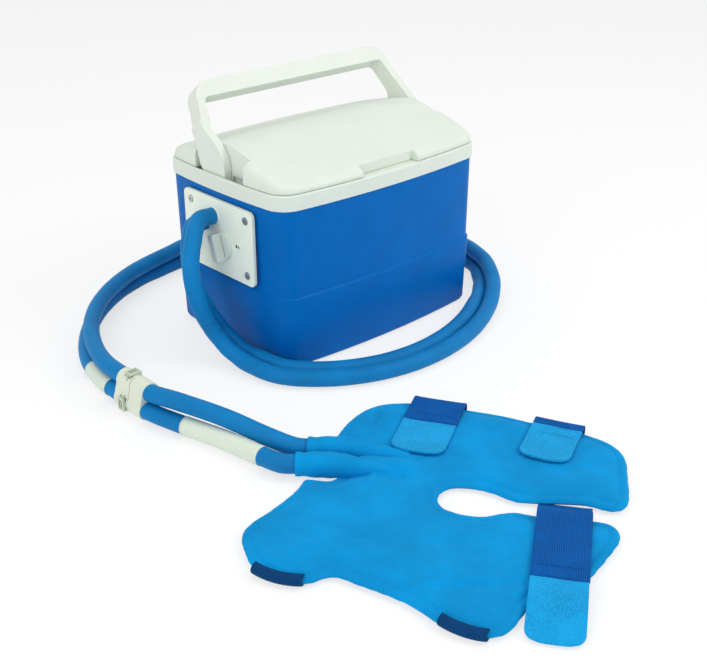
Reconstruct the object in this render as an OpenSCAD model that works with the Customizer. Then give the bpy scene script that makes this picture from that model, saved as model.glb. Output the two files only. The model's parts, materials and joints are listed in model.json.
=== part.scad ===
// Hot and cold therapy machine: a small lidded cooler with a submersible pump,
// a control plate on one end, a twin hose and a knee pad that lies in front.
// Origin: on the floor, at the centre of the cooler's base. +X runs along the
// cooler away from the control plate, +Y to its back, +Z up. Millimetres.

/* [Cooler body] */
// Length of the cooler over its bowed ends
body_l = 260; // [240:1:300]
// Width of the cooler over its bowed long sides
body_w = 186.5; // [175:0.5:210]
// Height of the blue shell
shell_h = 156; // [150:1:175]
// Thickness of the shell's wall
shell_wall = 2.5; // [2:0.1:3]
// Corner radius at the shell's top
corner_r = 22; // [18:1:28]
// How far the end faces bow outwards
end_bow = 3; // [1:0.5:4]
// How far the long sides bow outwards
side_bow = 6.2; // [3:0.1:8]
// How much the lower half stands proud at the moulded ledge
ledge_step = 1.2; // [0.6:0.1:2]
// Height of the moulded ledge
ledge_z = 71; // [60:1:80]

/* [Liner] */
// Inside length of the ice tub
tub_l = 222; // [214:1:224]
// Inside width of the ice tub
tub_w = 152; // [140:1:154]
// Height of the tub's floor
tub_floor_z = 20; // [16:1:30]
// Wall of the tub
tub_wall = 2; // [1.5:0.1:2.5]
// Height of the white collar band
collar_h = 14; // [13:0.5:16]
// How far the collar overhangs the shell
collar_lip = 1.2; // [0.5:0.1:2]
// Thickness of the collar's skirt
collar_wall = 3; // [2.5:0.1:3.2]

/* [Lid] */
// Height of the lid's ridge above the collar
lid_rise = 30; // [26:1:36]
// Slope of the lid's two roof faces, rise per run
lid_slope = 0.27; // [0.2:0.01:0.3]
// Radius of the lid's upper edge
lid_edge_r = 9; // [6:1:12]
// Wall of the lid's skin
lid_wall = 2.5; // [2:0.1:3]
// Width of the notch for the handle's foot
notch_w = 71; // [66:0.2:74]
// Length of each finger recess in the lid's long sides
recess_l = 70; // [50:1:90]
// Depth of each finger recess
recess_d = 9; // [6:1:11]

/* [Handle] */
// Distance from the handle's pivot to the top of its grip
handle_reach = 95; // [88:1:110]
// Width of the handle's legs and grip
handle_w = 18; // [15:1:19]
// Thickness of the legs
leg_t = 8; // [6:0.5:8]
// Depth of the grip bar
grip_t = 16; // [12:1:18]
// How far the handle leans back at rest, in degrees
handle_lean = 36; // [32:1:36]
// Radius of the handle's pivot pins
pivot_r = 3; // [2.5:0.1:3.5]

/* [Control plate] */
// Width of the control plate
plate_w = 103; // [100:1:108]
// Height of the control plate
plate_h = 72; // [70:1:74]
// Thickness of the control plate
plate_t = 3; // [2:0.5:4]
// Height of the plate's centre
plate_z = 113; // [111:1:114]
// Radius of the flow knob's skirt
knob_r = 13.5; // [11:0.5:14.5]
// How far the flow knob stands out
knob_h = 12; // [9:1:14]
// Bore of the power socket
jack_r = 2.8; // [2.5:0.1:3.2]

/* [Hose and coupling] */
// Outer diameter of each covered hose
hose_d = 16; // [14:0.5:16]
// Gap between the two covered hoses
hose_gap = 0.3; // [0.2:0.1:1]
// Radius of the coupling's round bodies
coupling_r = 9.1; // [8.5:0.1:9.1]
// Radius of the coupling's nipples
nipple_r = 6; // [5:0.1:6.2]
// Travel of each latch button
latch_travel = 2; // [1.5:0.1:2]

/* [Pad] */
// Thickness of the knee pad
pad_t = 9; // [7:0.5:12]
// Thickness of the straps
strap_t = 2; // [1.5:0.1:2.5]
// Radius of the port boots
boot_r = 10.5; // [9.5:0.1:10.5]

/* [Hidden] */
$fn = 48;
// a cut runs this far past the faces that it opens
over = 1;
// gap between a piece and the bore or pocket that it sits in
fit = 0.1;
// radial running clearance of a shaft in its bore
run = 0.05;
// gap between pieces that move past each other
clear = 0.3;

// colours
blue = [0.03, 0.35, 0.62];
pale_blue = [0.1, 0.58, 0.85];
navy = [0.0, 0.3, 0.62];
ivory = [0.93, 0.93, 0.88];
white = [0.96, 0.96, 0.95];
grey = [0.55, 0.56, 0.58];
black = [0.1, 0.1, 0.11];
steel = [0.75, 0.76, 0.78];
copper = [0.8, 0.45, 0.25];

// ---- outlines and lofts ----

end_steps = 3;
corner_steps = 6;
side_steps = 4;

function mix(a, b, t) = a + (b - a) * t;
function unit(v) = v / norm(v);

// one quarter of a rectangle with bowed sides and round corners
function bowed_quarter(l, w, r, bow_x, bow_y) =
    let (
        lean_x = atan(2 * bow_x / (w / 2 - r)),
        lean_y = atan(2 * bow_y / (l / 2 - r)),
        cx = l / 2 - bow_x - r * cos(lean_x),
        cy = w / 2 - bow_y - r * cos(lean_y),
        half_x = cx + r * sin(lean_y),
        half_y = cy + r * sin(lean_x)
    )
    concat(
        [for (i = [0 : end_steps - 1])
            let (t = i / end_steps) [l / 2 - bow_x * t * t, half_y * t]],
        [for (i = [0 : corner_steps])
            let (a = mix(lean_x, 90 - lean_y, i / corner_steps))
            [cx + r * cos(a), cy + r * sin(a)]],
        [for (i = [side_steps - 1 : -1 : 0])
            let (t = i / side_steps) [half_x * t, w / 2 - bow_y * t * t]]
    );

// the whole outline, counter-clockwise, from its quarter
function bowed_outline(l, w, r, bow_x, bow_y) =
    let (
        q = bowed_quarter(l, w, r, bow_x, bow_y),
        last = len(q) - 1
    )
    concat(
        q,
        [for (i = [last - 1 : -1 : 0]) [-q[i].x, q[i].y]],
        [for (i = [1 : last]) [-q[i].x, -q[i].y]],
        [for (i = [last - 1 : -1 : 1]) [q[i].x, -q[i].y]]
    );

function at_height(outline, z) = [for (p = outline) [p.x, p.y, z]];

// a solid through rings that have the same number of points; parts splits its
// end faces, by the numbers of their points, where the outline is a deep curve
module loft(rings, parts = []) {
    n = len(rings[0]);
    m = len(rings);
    ends = len(parts) > 0 ? parts : [[for (i = [0 : n - 1]) i]];
    polyhedron(
        points = [for (ring = rings) each ring],
        faces = concat(
            ends,
            [for (part = ends) [for (i = [len(part) - 1 : -1 : 0]) (m - 1) * n + part[i]]],
            [for (k = [0 : m - 2], i = [0 : n - 1])
                [k * n + i, (k + 1) * n + i, (k + 1) * n + (i + 1) % n]],
            [for (k = [0 : m - 2], i = [0 : n - 1])
                [k * n + i, (k + 1) * n + (i + 1) % n, k * n + (i + 1) % n]]
        )
    );
}

module rounded_rect(w, h, r) {
    square([w - 2 * r, h], center = true);
    square([w, h - 2 * r], center = true);
    for (sx = [-1, 1], sy = [-1, 1])
        translate([sx * (w / 2 - r), sy * (h / 2 - r)]) circle(r = r);
}

// extrudes a shape drawn in (y, z) from x0 to x1
module along_x(x0, x1, y = 0, z = 0) {
    translate([x0, y, z]) rotate([90, 0, 90]) linear_extrude(x1 - x0) children();
}

// extrudes a shape drawn in (x, z) from y0 to y1
module along_y(y0, y1, x = 0, z = 0) {
    translate([x, y1, z]) rotate([90, 0, 0]) linear_extrude(y1 - y0) children();
}

module rod_x(x0, x1, y, z, r) {
    translate([x0, y, z]) rotate([0, 90, 0]) cylinder(h = x1 - x0, r = r);
}

module rod_y(y0, y1, x, z, r) {
    translate([x, y0, z]) rotate([-90, 0, 0]) cylinder(h = y1 - y0, r = r);
}

module rod_z(z0, z1, x, y, r) {
    translate([x, y, z0]) cylinder(h = z1 - z0, r = r);
}

// ---- swept tubes ----

tube_sides = 10;

// a path's direction at a point; ends gives it at the first and last point
function ring_direction(path, i, ends) =
    i == 0 ? ends[0]
    : i == len(path) - 1 ? ends[1]
    : unit(path[i + 1] - path[i - 1]);

// the reference direction made square to the path
function square_to(v, dir) = unit(v - dir * (v * dir));

function tube_ring(path, guide, ends, i, r, sides) =
    let (
        dir = ring_direction(path, i, ends),
        across = square_to(guide[i], dir),
        up = cross(dir, across)
    )
    [for (k = [0 : sides - 1])
        let (a = -360 * k / sides) path[i] + r * (cos(a) * across + sin(a) * up)];

// a tube of radius r along a path; guide gives each ring's first corner
module tube(path, guide, ends, r, sides = tube_sides) {
    loft([for (i = [len(path) - 1 : -1 : 0]) tube_ring(path, guide, ends, i, r, sides)]);
}

// a sleeve that fits round such a tube
module tube_sleeve(path, guide, ends, r_in, r_out, sides = tube_sides) {
    n = sides;
    m = len(path);
    skins = concat(
        [for (i = [0 : m - 1]) each tube_ring(path, guide, ends, i, r_out, sides)],
        [for (i = [0 : m - 1]) each tube_ring(path, guide, ends, i, r_in, sides)]
    );
    polyhedron(
        points = skins,
        faces = concat(
            [for (k = [0 : m - 2], i = [0 : n - 1])
                [k * n + i, k * n + (i + 1) % n, (k + 1) * n + (i + 1) % n]],
            [for (k = [0 : m - 2], i = [0 : n - 1])
                [k * n + i, (k + 1) * n + (i + 1) % n, (k + 1) * n + i]],
            [for (k = [0 : m - 2], i = [0 : n - 1])
                [(m + k) * n + i, (m + k + 1) * n + (i + 1) % n, (m + k) * n + (i + 1) % n]],
            [for (k = [0 : m - 2], i = [0 : n - 1])
                [(m + k) * n + i, (m + k + 1) * n + i, (m + k + 1) * n + (i + 1) % n]],
            [for (i = [0 : n - 1]) [i, m * n + i, m * n + (i + 1) % n]],
            [for (i = [0 : n - 1]) [i, m * n + (i + 1) % n, (i + 1) % n]],
            [for (i = [0 : n - 1])
                [(m - 1) * n + i, (m - 1) * n + (i + 1) % n, (2 * m - 1) * n + (i + 1) % n]],
            [for (i = [0 : n - 1])
                [(m - 1) * n + i, (2 * m - 1) * n + (i + 1) % n, (2 * m - 1) * n + i]]
        )
    );
}

// ---- cooler shell ----

// how far the wall stands in from the top outline at each height:
// height, inset at the ends, inset at the long sides
shell_profile = [
    [shell_h, 0, 0],
    [ledge_z + ledge_step, 3.2, 0.8],
    [ledge_z, 3.2 - ledge_step, 0.8 - ledge_step],
    [42, 3.4, 0.2],
    [38, 4.2, 0.8],
    [5, 5.8, 1.6],
    [2, 7.2, 3],
    [1, 9, 4.8]
];
base_foot_h = 1.5;
shell_floor_z = 3.5;
foot_corner_r = 12;

function shell_outline(inset_x, inset_y, z, wall) =
    bowed_outline(
        body_l - 2 * inset_x - 2 * wall,
        body_w - 2 * inset_y - 2 * wall,
        mix(foot_corner_r, corner_r, z / shell_h) - wall,
        end_bow, side_bow
    );

function shell_ring(row, wall) =
    at_height(shell_outline(row[1], row[2], row[0], wall), row[0]);

// the shell's inside, or a block that fills it, from z0 to z1
module shell_inside(wall, z0, z1) {
    foot = shell_profile[5];
    step = shell_profile[1];
    top = shell_profile[0];
    loft([
        at_height(shell_outline(foot[1] + 1, foot[2] + 2, foot[0], wall), z0),
        at_height(shell_outline(foot[1], foot[2] + 1, foot[0], wall), z0 + 3),
        at_height(shell_outline(step[1], step[2], step[0], wall), ledge_z),
        at_height(shell_outline(top[1], top[2], top[0], wall), z1)
    ]);
}

// ---- control plate and what passes through the wall behind it ----

plate_y = -0.6;
plate_corner_r = 6;
plate_back_x = -body_l / 2;
plate_front_x = plate_back_x - plate_t;
seat_x = plate_back_x + 1.5;
boss_x = seat_x + 6;
screw_inset = 10.3;
screw_span_y = plate_w / 2 - screw_inset;
screw_span_z = plate_h / 2 - screw_inset + 0.8;
screw_r = 1.75;
screw_head_r = 3.4;
screw_head_t = 1.6;
tub_end_x = -tub_l / 2;
clamp_t = 2.5;
clamp_x = tub_end_x + clamp_t;

// the two hose ports, either side of their middle
port_mid = [12.5, 127.5];
port_dir = [-0.82, 0.57];
port_step = (hose_d + hose_gap) / 2;
port_a = port_mid + port_step * unit(port_dir);
port_b = port_mid - port_step * unit(port_dir);
port_face_x = plate_front_x - 0.8;
gland_r = 8.6;
gland_bore_r = 5;
barb_r = 4;
barb_bore_r = 2.5;
barb_l = 10;
gland_end_x = clamp_x + 4.5;

knob_y = -7;
knob_z = 106;
knob_turn = 17;
neck_r = 6;
spindle_r = 3;
socket_y = 34.5;
socket_z = 98.5;
socket_r = 6;

function screw_places() =
    [for (sy = [-1, 1], sz = [-1, 1])
        [plate_y + sy * screw_span_y, plate_z + sz * screw_span_z]];

module plate_shape(inset) {
    translate([plate_y, plate_z])
        rounded_rect(plate_w - 2 * inset, plate_h - 2 * inset, plate_corner_r - inset);
}

// the holes of everything that goes through the wall, widened by gap
module wall_holes(gap) {
    for (p = [port_a, port_b]) translate(p) circle(r = gland_r + gap);
    translate([knob_y, knob_z]) circle(r = neck_r + gap);
    translate([socket_y, socket_z]) circle(r = socket_r + gap);
    for (p = screw_places()) translate(p) circle(r = screw_r + gap);
}

module body_shell() {
    color(blue) difference() {
        union() {
            difference() {
                loft([for (i = [len(shell_profile) - 1 : -1 : 0])
                    shell_ring(shell_profile[i], 0)]);
                difference() {
                    shell_inside(shell_wall, shell_floor_z, shell_h + over);
                    along_x(seat_x, boss_x) plate_shape(1.5);
                }
            }
            along_x(seat_x, boss_x - 2) plate_shape(1.5);
            linear_extrude(base_foot_h) rounded_rect(234, 162, foot_corner_r);
        }
        along_x(seat_x - 10, seat_x) plate_shape(-0.5);
        along_x(seat_x - over, boss_x + over) wall_holes(fit);
    }
}

module insulation_foam() {
    gap = 2 * fit;
    color("khaki") difference() {
        shell_inside(shell_wall + gap, shell_floor_z + gap, shell_h - 0.5);
        translate([0, 0, tub_floor_z - tub_wall - gap]) linear_extrude(shell_h)
            tub_shape(tub_wall + gap);
        along_x(seat_x - over, boss_x + gap) plate_shape(1.5 - gap);
        along_x(seat_x - over, tub_end_x + over) wall_holes(gap);
        for (sx = [-1, 1]) scale([sx, 1, 1])
            translate([tub_l / 2, -pocket_w / 2 - pocket_wall - gap, pocket_floor_z - pocket_wall - gap])
                cube([30, pocket_w + 2 * (pocket_wall + gap), 20]);
    }
}

// ---- tub and collar ----

tub_corner_r = 14;
collar_z = shell_h + collar_h;
flange_t = 3.5;
flange_z = collar_z - flange_t;
pivot_z = shell_h + 7;
pocket_x0 = tub_l / 2 + 4;
pocket_x1 = body_l / 2 + collar_lip - collar_wall - 0.2;
pocket_w = 80;
pocket_floor_z = shell_h - 0.3;
pocket_wall = 2;
pocket_end_x = pocket_x1 - 2.5;

module tub_shape(wall) {
    rounded_rect(tub_l + 2 * wall, tub_w + 2 * wall, tub_corner_r + wall);
}

// the box that the handle's foot and the lid's ear stand in, at the +X end
module foot_pocket() {
    difference() {
        translate([tub_l / 2 + 1, -pocket_w / 2 - pocket_wall, pocket_floor_z - pocket_wall])
            cube([pocket_end_x - tub_l / 2 - 1, pocket_w + 2 * pocket_wall,
                flange_z - fit - pocket_floor_z + pocket_wall]);
        translate([pocket_x0, -pocket_w / 2, pocket_floor_z])
            cube([pocket_x1 - pocket_x0, pocket_w, 40]);
    }
}

module liner_tub() {
    color(white) difference() {
        union() {
            translate([0, 0, tub_floor_z - tub_wall])
                linear_extrude(collar_z - tub_floor_z + tub_wall) tub_shape(tub_wall);
            foot_pocket();
            scale([-1, 1, 1]) foot_pocket();
        }
        translate([0, 0, tub_floor_z]) linear_extrude(collar_z) tub_shape(0);
        along_x(tub_end_x - 10, tub_end_x + over) wall_holes(fit);
    }
}

function collar_ring(inset, z) =
    at_height(shell_outline(inset - collar_lip, inset - collar_lip, shell_h, 0), z);

module collar() {
    color(white) difference() {
        loft([collar_ring(0, shell_h), collar_ring(0, collar_z - 1), collar_ring(1, collar_z)]);
        loft([collar_ring(collar_wall, shell_h - over), collar_ring(collar_wall, flange_z)]);
        translate([0, 0, shell_h]) linear_extrude(collar_h + over) tub_shape(tub_wall + fit);
        for (sx = [-1, 1]) scale([sx, 1, 1])
            translate([pocket_x0, -pocket_w / 2, shell_h])
                cube([pocket_x1 - pocket_x0, pocket_w, collar_h + over]);
    }
}

// ---- control plate pieces ----

knob_gap = 0.3;

module end_plate() {
    color(ivory) difference() {
        along_x(plate_front_x, plate_back_x) plate_shape(0);
        along_x(plate_front_x - over, plate_back_x + over) {
            for (p = [port_a, port_b]) translate(p) circle(r = gland_r + fit);
            translate([socket_y, socket_z]) circle(r = socket_r + fit);
            for (p = screw_places()) translate(p) circle(r = screw_r + fit);
        }
        rod_x(plate_front_x - over, plate_back_x + over, knob_y, knob_z, spindle_r + run);
        for (p = screw_places())
            rod_x(plate_front_x - over, plate_front_x + 1, p[0], p[1], screw_head_r + 0.4);
    }
}

module plate_gasket() {
    color(black) difference() {
        along_x(plate_back_x, seat_x) plate_shape(0.5);
        along_x(plate_back_x - over, seat_x + over) wall_holes(fit);
    }
}

module plate_screws() {
    color(steel) for (p = screw_places()) {
        rod_x(plate_front_x + 1, clamp_x + 3.2, p[0], p[1], screw_r);
        difference() {
            rod_x(plate_front_x + 1 - screw_head_t, plate_front_x + 1.01, p[0], p[1], screw_head_r);
            along_x(plate_front_x - over, plate_front_x + 0.4, p[0], p[1]) {
                square([3.6, 0.9], center = true);
                square([0.9, 3.6], center = true);
            }
        }
    }
}

module clamp_plate() {
    color(grey) difference() {
        along_x(tub_end_x, clamp_x) plate_shape(0);
        along_x(tub_end_x - over, clamp_x + over) wall_holes(fit);
    }
}

module screw_nuts() {
    color(steel) for (p = screw_places()) difference() {
        along_x(clamp_x, clamp_x + 2.4, p[0], p[1]) circle(r = 3.5, $fn = 6);
        rod_x(clamp_x - over, clamp_x + 4, p[0], p[1], screw_r + run);
    }
}

module hose_gland() {
    color(ivory) difference() {
        union() {
            for (p = [port_a, port_b]) {
                rod_x(port_face_x, gland_end_x, p[0], p[1], gland_r);
                rod_x(gland_end_x - over, gland_end_x + barb_l, p[0], p[1], barb_r);
            }
            along_x(clamp_x, clamp_x + 3) for (p = [port_a, port_b])
                translate(p) circle(r = gland_r + 2);
        }
        for (p = [port_a, port_b]) {
            rod_x(port_face_x - over, gland_end_x - 3, p[0], p[1], gland_bore_r);
            rod_x(gland_end_x - 4, gland_end_x + barb_l + over, p[0], p[1], barb_bore_r);
        }
    }
}

// ---- flow valve ----

valve_l = 20;
valve_x1 = clamp_x + valve_l;
valve_w = 24;
valve_h = 20;
valve_mid_x = clamp_x + 9.5;
plug_r = 5;
passage_r = 2.5;
valve_nipple_l = 10;
valve_low_z = knob_z - valve_h / 2;
valve_high_z = knob_z + valve_h / 2;

module valve_body() {
    color(grey) difference() {
        union() {
            rod_x(plate_back_x, clamp_x + over, knob_y, knob_z, neck_r);
            along_x(clamp_x, valve_x1, knob_y, knob_z) rounded_rect(valve_w, valve_h, 3);
            rod_z(valve_low_z - valve_nipple_l, valve_high_z + valve_nipple_l,
                valve_mid_x, knob_y, barb_r);
        }
        rod_x(plate_back_x - over, valve_x1 - 4, knob_y, knob_z, spindle_r + run);
        rod_x(clamp_x + 2, valve_x1 - 3, knob_y, knob_z, plug_r + run);
        rod_z(valve_low_z - valve_nipple_l - over, valve_high_z + valve_nipple_l + over,
            valve_mid_x, knob_y, passage_r);
    }
}

module valve_spindle() {
    color(grey) difference() {
        union() {
            rod_x(plate_front_x - knob_h + 2, valve_x1 - 4, knob_y, knob_z, spindle_r);
            rod_x(clamp_x + 2.3, valve_x1 - 3.3, knob_y, knob_z, plug_r);
        }
        rod_z(knob_z - 8, knob_z + 8, valve_mid_x, knob_y, passage_r);
    }
}

module knob_grip() {
    intersection() {
        circle(r = knob_r - 0.5);
        rotate(-knob_turn) square([7, 2 * knob_r], center = true);
    }
}

module flow_knob() {
    tip_x = plate_front_x - knob_gap - knob_h;
    skirt_x = plate_front_x - knob_gap - 3;
    color(white) difference() {
        union() {
            rod_x(skirt_x, plate_front_x - knob_gap, knob_y, knob_z, knob_r);
            along_x(tip_x, skirt_x + over, knob_y, knob_z) knob_grip();
        }
        rod_x(plate_front_x - knob_h + 2 - fit, plate_front_x, knob_y, knob_z, spindle_r + 0.02);
        translate([skirt_x - 3, knob_y, knob_z]) rotate([-knob_turn, 0, 0])
            cylinder(h = knob_r + over, r = 1.6);
    }
}

module knob_screw() {
    skirt_x = plate_front_x - knob_gap - 3;
    color(steel) translate([skirt_x - 3, knob_y, knob_z]) rotate([-knob_turn, 0, 0])
        translate([0, 0, spindle_r + fit]) cylinder(h = 5, r = 1.5);
}

// ---- power socket ----

module power_socket() {
    color(black) difference() {
        union() {
            rod_x(plate_front_x - 1.5, plate_front_x, socket_y, socket_z, socket_r + 1);
            rod_x(plate_front_x - 0.01, clamp_x + 6, socket_y, socket_z, socket_r);
        }
        difference() {
            rod_x(plate_front_x - 2.5, plate_front_x + 9, socket_y, socket_z, jack_r);
            rod_x(plate_front_x + 1, plate_front_x + 10, socket_y, socket_z, 1);
        }
    }
}

module socket_nut() {
    color(steel) difference() {
        along_x(clamp_x, clamp_x + 3, socket_y, socket_z) circle(r = 8.6, $fn = 6);
        rod_x(clamp_x - over, clamp_x + 4, socket_y, socket_z, socket_r + run);
    }
}

// ---- pump on the tub's floor ----

pump_x = clamp_x + 22.5;
pump_z = tub_floor_z + 24;
chamber_y0 = knob_y - 6;
chamber_y1 = knob_y + 6;
motor_y1 = chamber_y1 + 28;
motor_r = 18;
chamber_r = 14.5;
rotor_r = 6.8;
cover_t = 3;
outlet_x = valve_mid_x;
outlet_top_z = pump_z + 28;
shaft_r = 1.5;
foot_h = 6;

module pump_housing() {
    color(black) difference() {
        union() {
            rod_y(chamber_y0, motor_y1, pump_x, pump_z, motor_r);
            rod_z(pump_z, outlet_top_z - 12, outlet_x, knob_y, 5);
            rod_z(pump_z, outlet_top_z, outlet_x, knob_y, barb_r);
            rod_y(motor_y1 - over, motor_y1 + 4, pump_x, pump_z, 4);
            translate([pump_x - 20, chamber_y0, tub_floor_z + foot_h])
                cube([40, motor_y1 - chamber_y0, 3]);
        }
        rod_y(chamber_y0 - over, chamber_y1 - 1, pump_x, pump_z, chamber_r);
        rod_y(chamber_y1 - 2, motor_y1 - 4, pump_x, pump_z, rotor_r + clear);
        rod_y(motor_y1 - 5, motor_y1 - 2, pump_x, pump_z, shaft_r + run);
        difference() {
            rod_y(chamber_y1 + 2, motor_y1 - 5, pump_x, pump_z, motor_r - 2);
            rod_y(chamber_y1 + 1, motor_y1 - 4, pump_x, pump_z, rotor_r + 2);
        }
        rod_z(pump_z, outlet_top_z + over, outlet_x, knob_y, passage_r);
    }
}

module pump_cover() {
    color(black) difference() {
        rod_y(chamber_y0 - cover_t, chamber_y0, pump_x, pump_z, motor_r);
        difference() {
            rod_y(chamber_y0 - cover_t - over, chamber_y0 + over, pump_x, pump_z, 7);
            rod_y(chamber_y0 - cover_t - over, chamber_y0 + over, pump_x, pump_z, 3);
            translate([pump_x - 8, chamber_y0 - cover_t - over, pump_z - 1])
                cube([16, cover_t + 2 * over, 2]);
        }
        rod_y(chamber_y0 - cover_t - over, chamber_y0 + over, pump_x, pump_z, shaft_r + run);
    }
}

module motor_windings() {
    gap = 2 * fit;
    color(copper) difference() {
        rod_y(chamber_y1 + 2 + gap, motor_y1 - 5 - gap, pump_x, pump_z, motor_r - 2 - gap);
        rod_y(chamber_y1, motor_y1, pump_x, pump_z, rotor_r + 2 + gap);
    }
}

strainer_l = 12;
slot_count = 10;

module suction_strainer() {
    y1 = chamber_y0 - cover_t;
    color(black) difference() {
        rod_y(y1 - strainer_l, y1, pump_x, pump_z, 14);
        rod_y(y1 - strainer_l + 2, y1 + over, pump_x, pump_z, 12);
        for (i = [0 : slot_count - 1])
            translate([pump_x, y1 - strainer_l / 2, pump_z])
                rotate([0, 360 * (i + 0.5) / slot_count, 0])
                    translate([0, -3, 0]) cube([16, 6, 2]);
    }
}

module pump_feet() {
    color(grey) for (sx = [-1, 1], y = [chamber_y0 + 3, motor_y1 - 6])
        rod_z(tub_floor_z, tub_floor_z + foot_h, pump_x + sx * 12, y, 5);
}

blade_count = 6;

module impeller() {
    color(white) difference() {
        union() {
            rod_y(chamber_y0 + 1.5, chamber_y1 - 2.2, pump_x, pump_z, 4);
            for (i = [0 : blade_count - 1])
                translate([pump_x, chamber_y0 + 1.5, pump_z])
                    rotate([0, 360 * i / blade_count, 0])
                        translate([0, 0, -0.8]) cube([12.8, 7, 1.6]);
        }
        rod_y(chamber_y0, chamber_y1, pump_x, pump_z, shaft_r + 0.02);
    }
}

module impeller_shaft() {
    color(steel) rod_y(chamber_y0 - cover_t + 0.5, motor_y1 - 2.5, pump_x, pump_z, shaft_r);
}

module rotor_magnet() {
    color(black) difference() {
        rod_y(chamber_y1 + 0.5, motor_y1 - 6, pump_x, pump_z, rotor_r);
        rod_y(chamber_y1, motor_y1, pump_x, pump_z, shaft_r + 0.02);
    }
}

// ---- pipes and lead inside the tub ----

pipe_r = 6;
pipe_bore_r = barb_r + fit;
clamp_ring_r = pipe_r + 0.6;
lead_r = 2.2;
sleeve_end = 2;
bend_r = pipe_r - 0.3;

// bare pipe ends that slide over the nipples
supply_z0 = outlet_top_z - 10;
supply_z1 = valve_low_z - 1;
delivery_z = valve_high_z + 1;
grip_z = valve_high_z + valve_nipple_l;
grip_x = gland_end_x + barb_l;

delivery_route = [
    [valve_mid_x, knob_y, grip_z + 1], [valve_mid_x, knob_y, grip_z + 6],
    [valve_mid_x + 4, knob_y, grip_z + 13], [-89, -5, 145], [-80, -1, 146],
    [-74, 3, 141], [-75, 5.5, 135], [-82, port_a[0], port_a[1]],
    [grip_x + 1, port_a[0], port_a[1]]
];
return_route = [
    [grip_x + 1, port_b[0], port_b[1]], [-84, port_b[0], port_b[1]],
    [-74, 19.5, 119], [-66, 20, 109], [-62, 21, 95], [-60, 22, 75],
    [-58, 23, 52], [-57, 24, 30]
];
lead_route = [
    [clamp_x + 6, socket_y, socket_z], [clamp_x + 11, socket_y, socket_z],
    [-93, 35, 93], [-90, 36, 80], [-88, 38, 62], [-86, 38, 50],
    [pump_x, 36, pump_z], [pump_x, motor_y1 + 4, pump_z]
];

function same_guide(path, v) = [for (p = path) v];

// a pipe's end over a nipple, from z0 to past the nipple's tip at z1
module pipe_sleeve_z(z0, z1, x, y) {
    difference() {
        rod_z(z0, z1 + sleeve_end, x, y, pipe_r);
        rod_z(z0 - over, z1 + fit, x, y, pipe_bore_r);
    }
}

module pipe_sleeve_x(x0, x1, p) {
    difference() {
        rod_x(x0, x1 + sleeve_end, p[0], p[1], pipe_r);
        rod_x(x0 - over, x1 + fit, p[0], p[1], pipe_bore_r);
    }
}

module supply_pipe() {
    color("lightblue") difference() {
        rod_z(supply_z0, supply_z1, outlet_x, knob_y, pipe_r);
        rod_z(supply_z0 - over, supply_z1 + over, outlet_x, knob_y, pipe_bore_r);
    }
}

module delivery_pipe() {
    color("lightblue") {
        pipe_sleeve_z(delivery_z, grip_z, valve_mid_x, knob_y);
        tube(delivery_route, same_guide(delivery_route, [0, 1, 0.2]), [[0, 0, 1], [-1, 0, 0]],
            bend_r);
        pipe_sleeve_x(gland_end_x + over, grip_x, port_a);
    }
}

module return_pipe() {
    color("lightblue") {
        pipe_sleeve_x(gland_end_x + over, grip_x, port_b);
        tube(return_route, same_guide(return_route, [0, 1, 0.1]), [[1, 0, 0], unit([0.1, 0.1, -1])],
            bend_r);
    }
}

module clamp_ring() {
    difference() {
        cylinder(h = 4, r = clamp_ring_r);
        translate([0, 0, -over]) cylinder(h = 6, r = pipe_r + 0.02);
    }
}

module pipe_clamps() {
    color(steel) {
        translate([outlet_x, knob_y, supply_z0 + 2]) clamp_ring();
        translate([outlet_x, knob_y, supply_z1 - 6]) clamp_ring();
        translate([valve_mid_x, knob_y, delivery_z + 2]) clamp_ring();
        for (p = [port_a, port_b])
            translate([gland_end_x + 3, p[0], p[1]]) rotate([0, 90, 0]) clamp_ring();
    }
}

module pump_lead() {
    color(black) tube(lead_route, same_guide(lead_route, [0, 0.1, 1]), [[1, 0, 0], [0, -1, 0]],
        lead_r, 8);
}

// ---- lid ----

lid_gap = clear;
lid_z = collar_z + lid_gap;
lid_l = body_l - 1;
lid_w = body_w - 0.5;
lid_top_z = collar_z + lid_rise;
lid_wall_h = 3;
ear_x0 = tub_l / 2 + 5;
ear_x1 = ear_x0 + 2.6;
ear_r = 7;
ridge_round = 10;

function lid_outline(inset) =
    bowed_outline(
        lid_l - 2 * inset, lid_w - 2 * inset, max(corner_r - inset, 3),
        end_bow * (1 - inset / 100), side_bow * (1 - inset / 100)
    );

// height of the roof above a place, away from its edges
function roof_z(x, y) =
    lid_top_z - 2 * pow(x / (lid_l / 2), 2)
    - lid_slope * (sqrt(y * y + ridge_round * ridge_round) - ridge_round);

// the roof with its rounded edge, at an inset from the outline
function edge_z(x, y, inset) =
    let (
        roof = roof_z(x, y),
        low = max(roof - lid_edge_r, lid_z + lid_wall_h),
        t = 1 - min(inset, lid_edge_r) / lid_edge_r
    )
    low + (roof - low) * sqrt(1 - t * t);

function roof_ring(inset, depth) =
    [for (p = lid_outline(inset + depth)) [p.x, p.y, edge_z(p.x, p.y, inset) - depth]];

roof_insets = [0, 0.7, 2.5, 5.5, 9, 24, 44, 64, 86];
void_insets = [0, 2.5, 9, 40, 84];

module lid_block() {
    loft(concat(
        [at_height(lid_outline(0.8), lid_z), at_height(lid_outline(0), lid_z + 1)],
        [for (i = roof_insets) roof_ring(i, 0)]
    ));
}

module lid_inside(wall, z0) {
    loft(concat(
        [at_height(lid_outline(wall), z0)],
        [for (i = void_insets) roof_ring(i, wall)]
    ));
}

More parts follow.
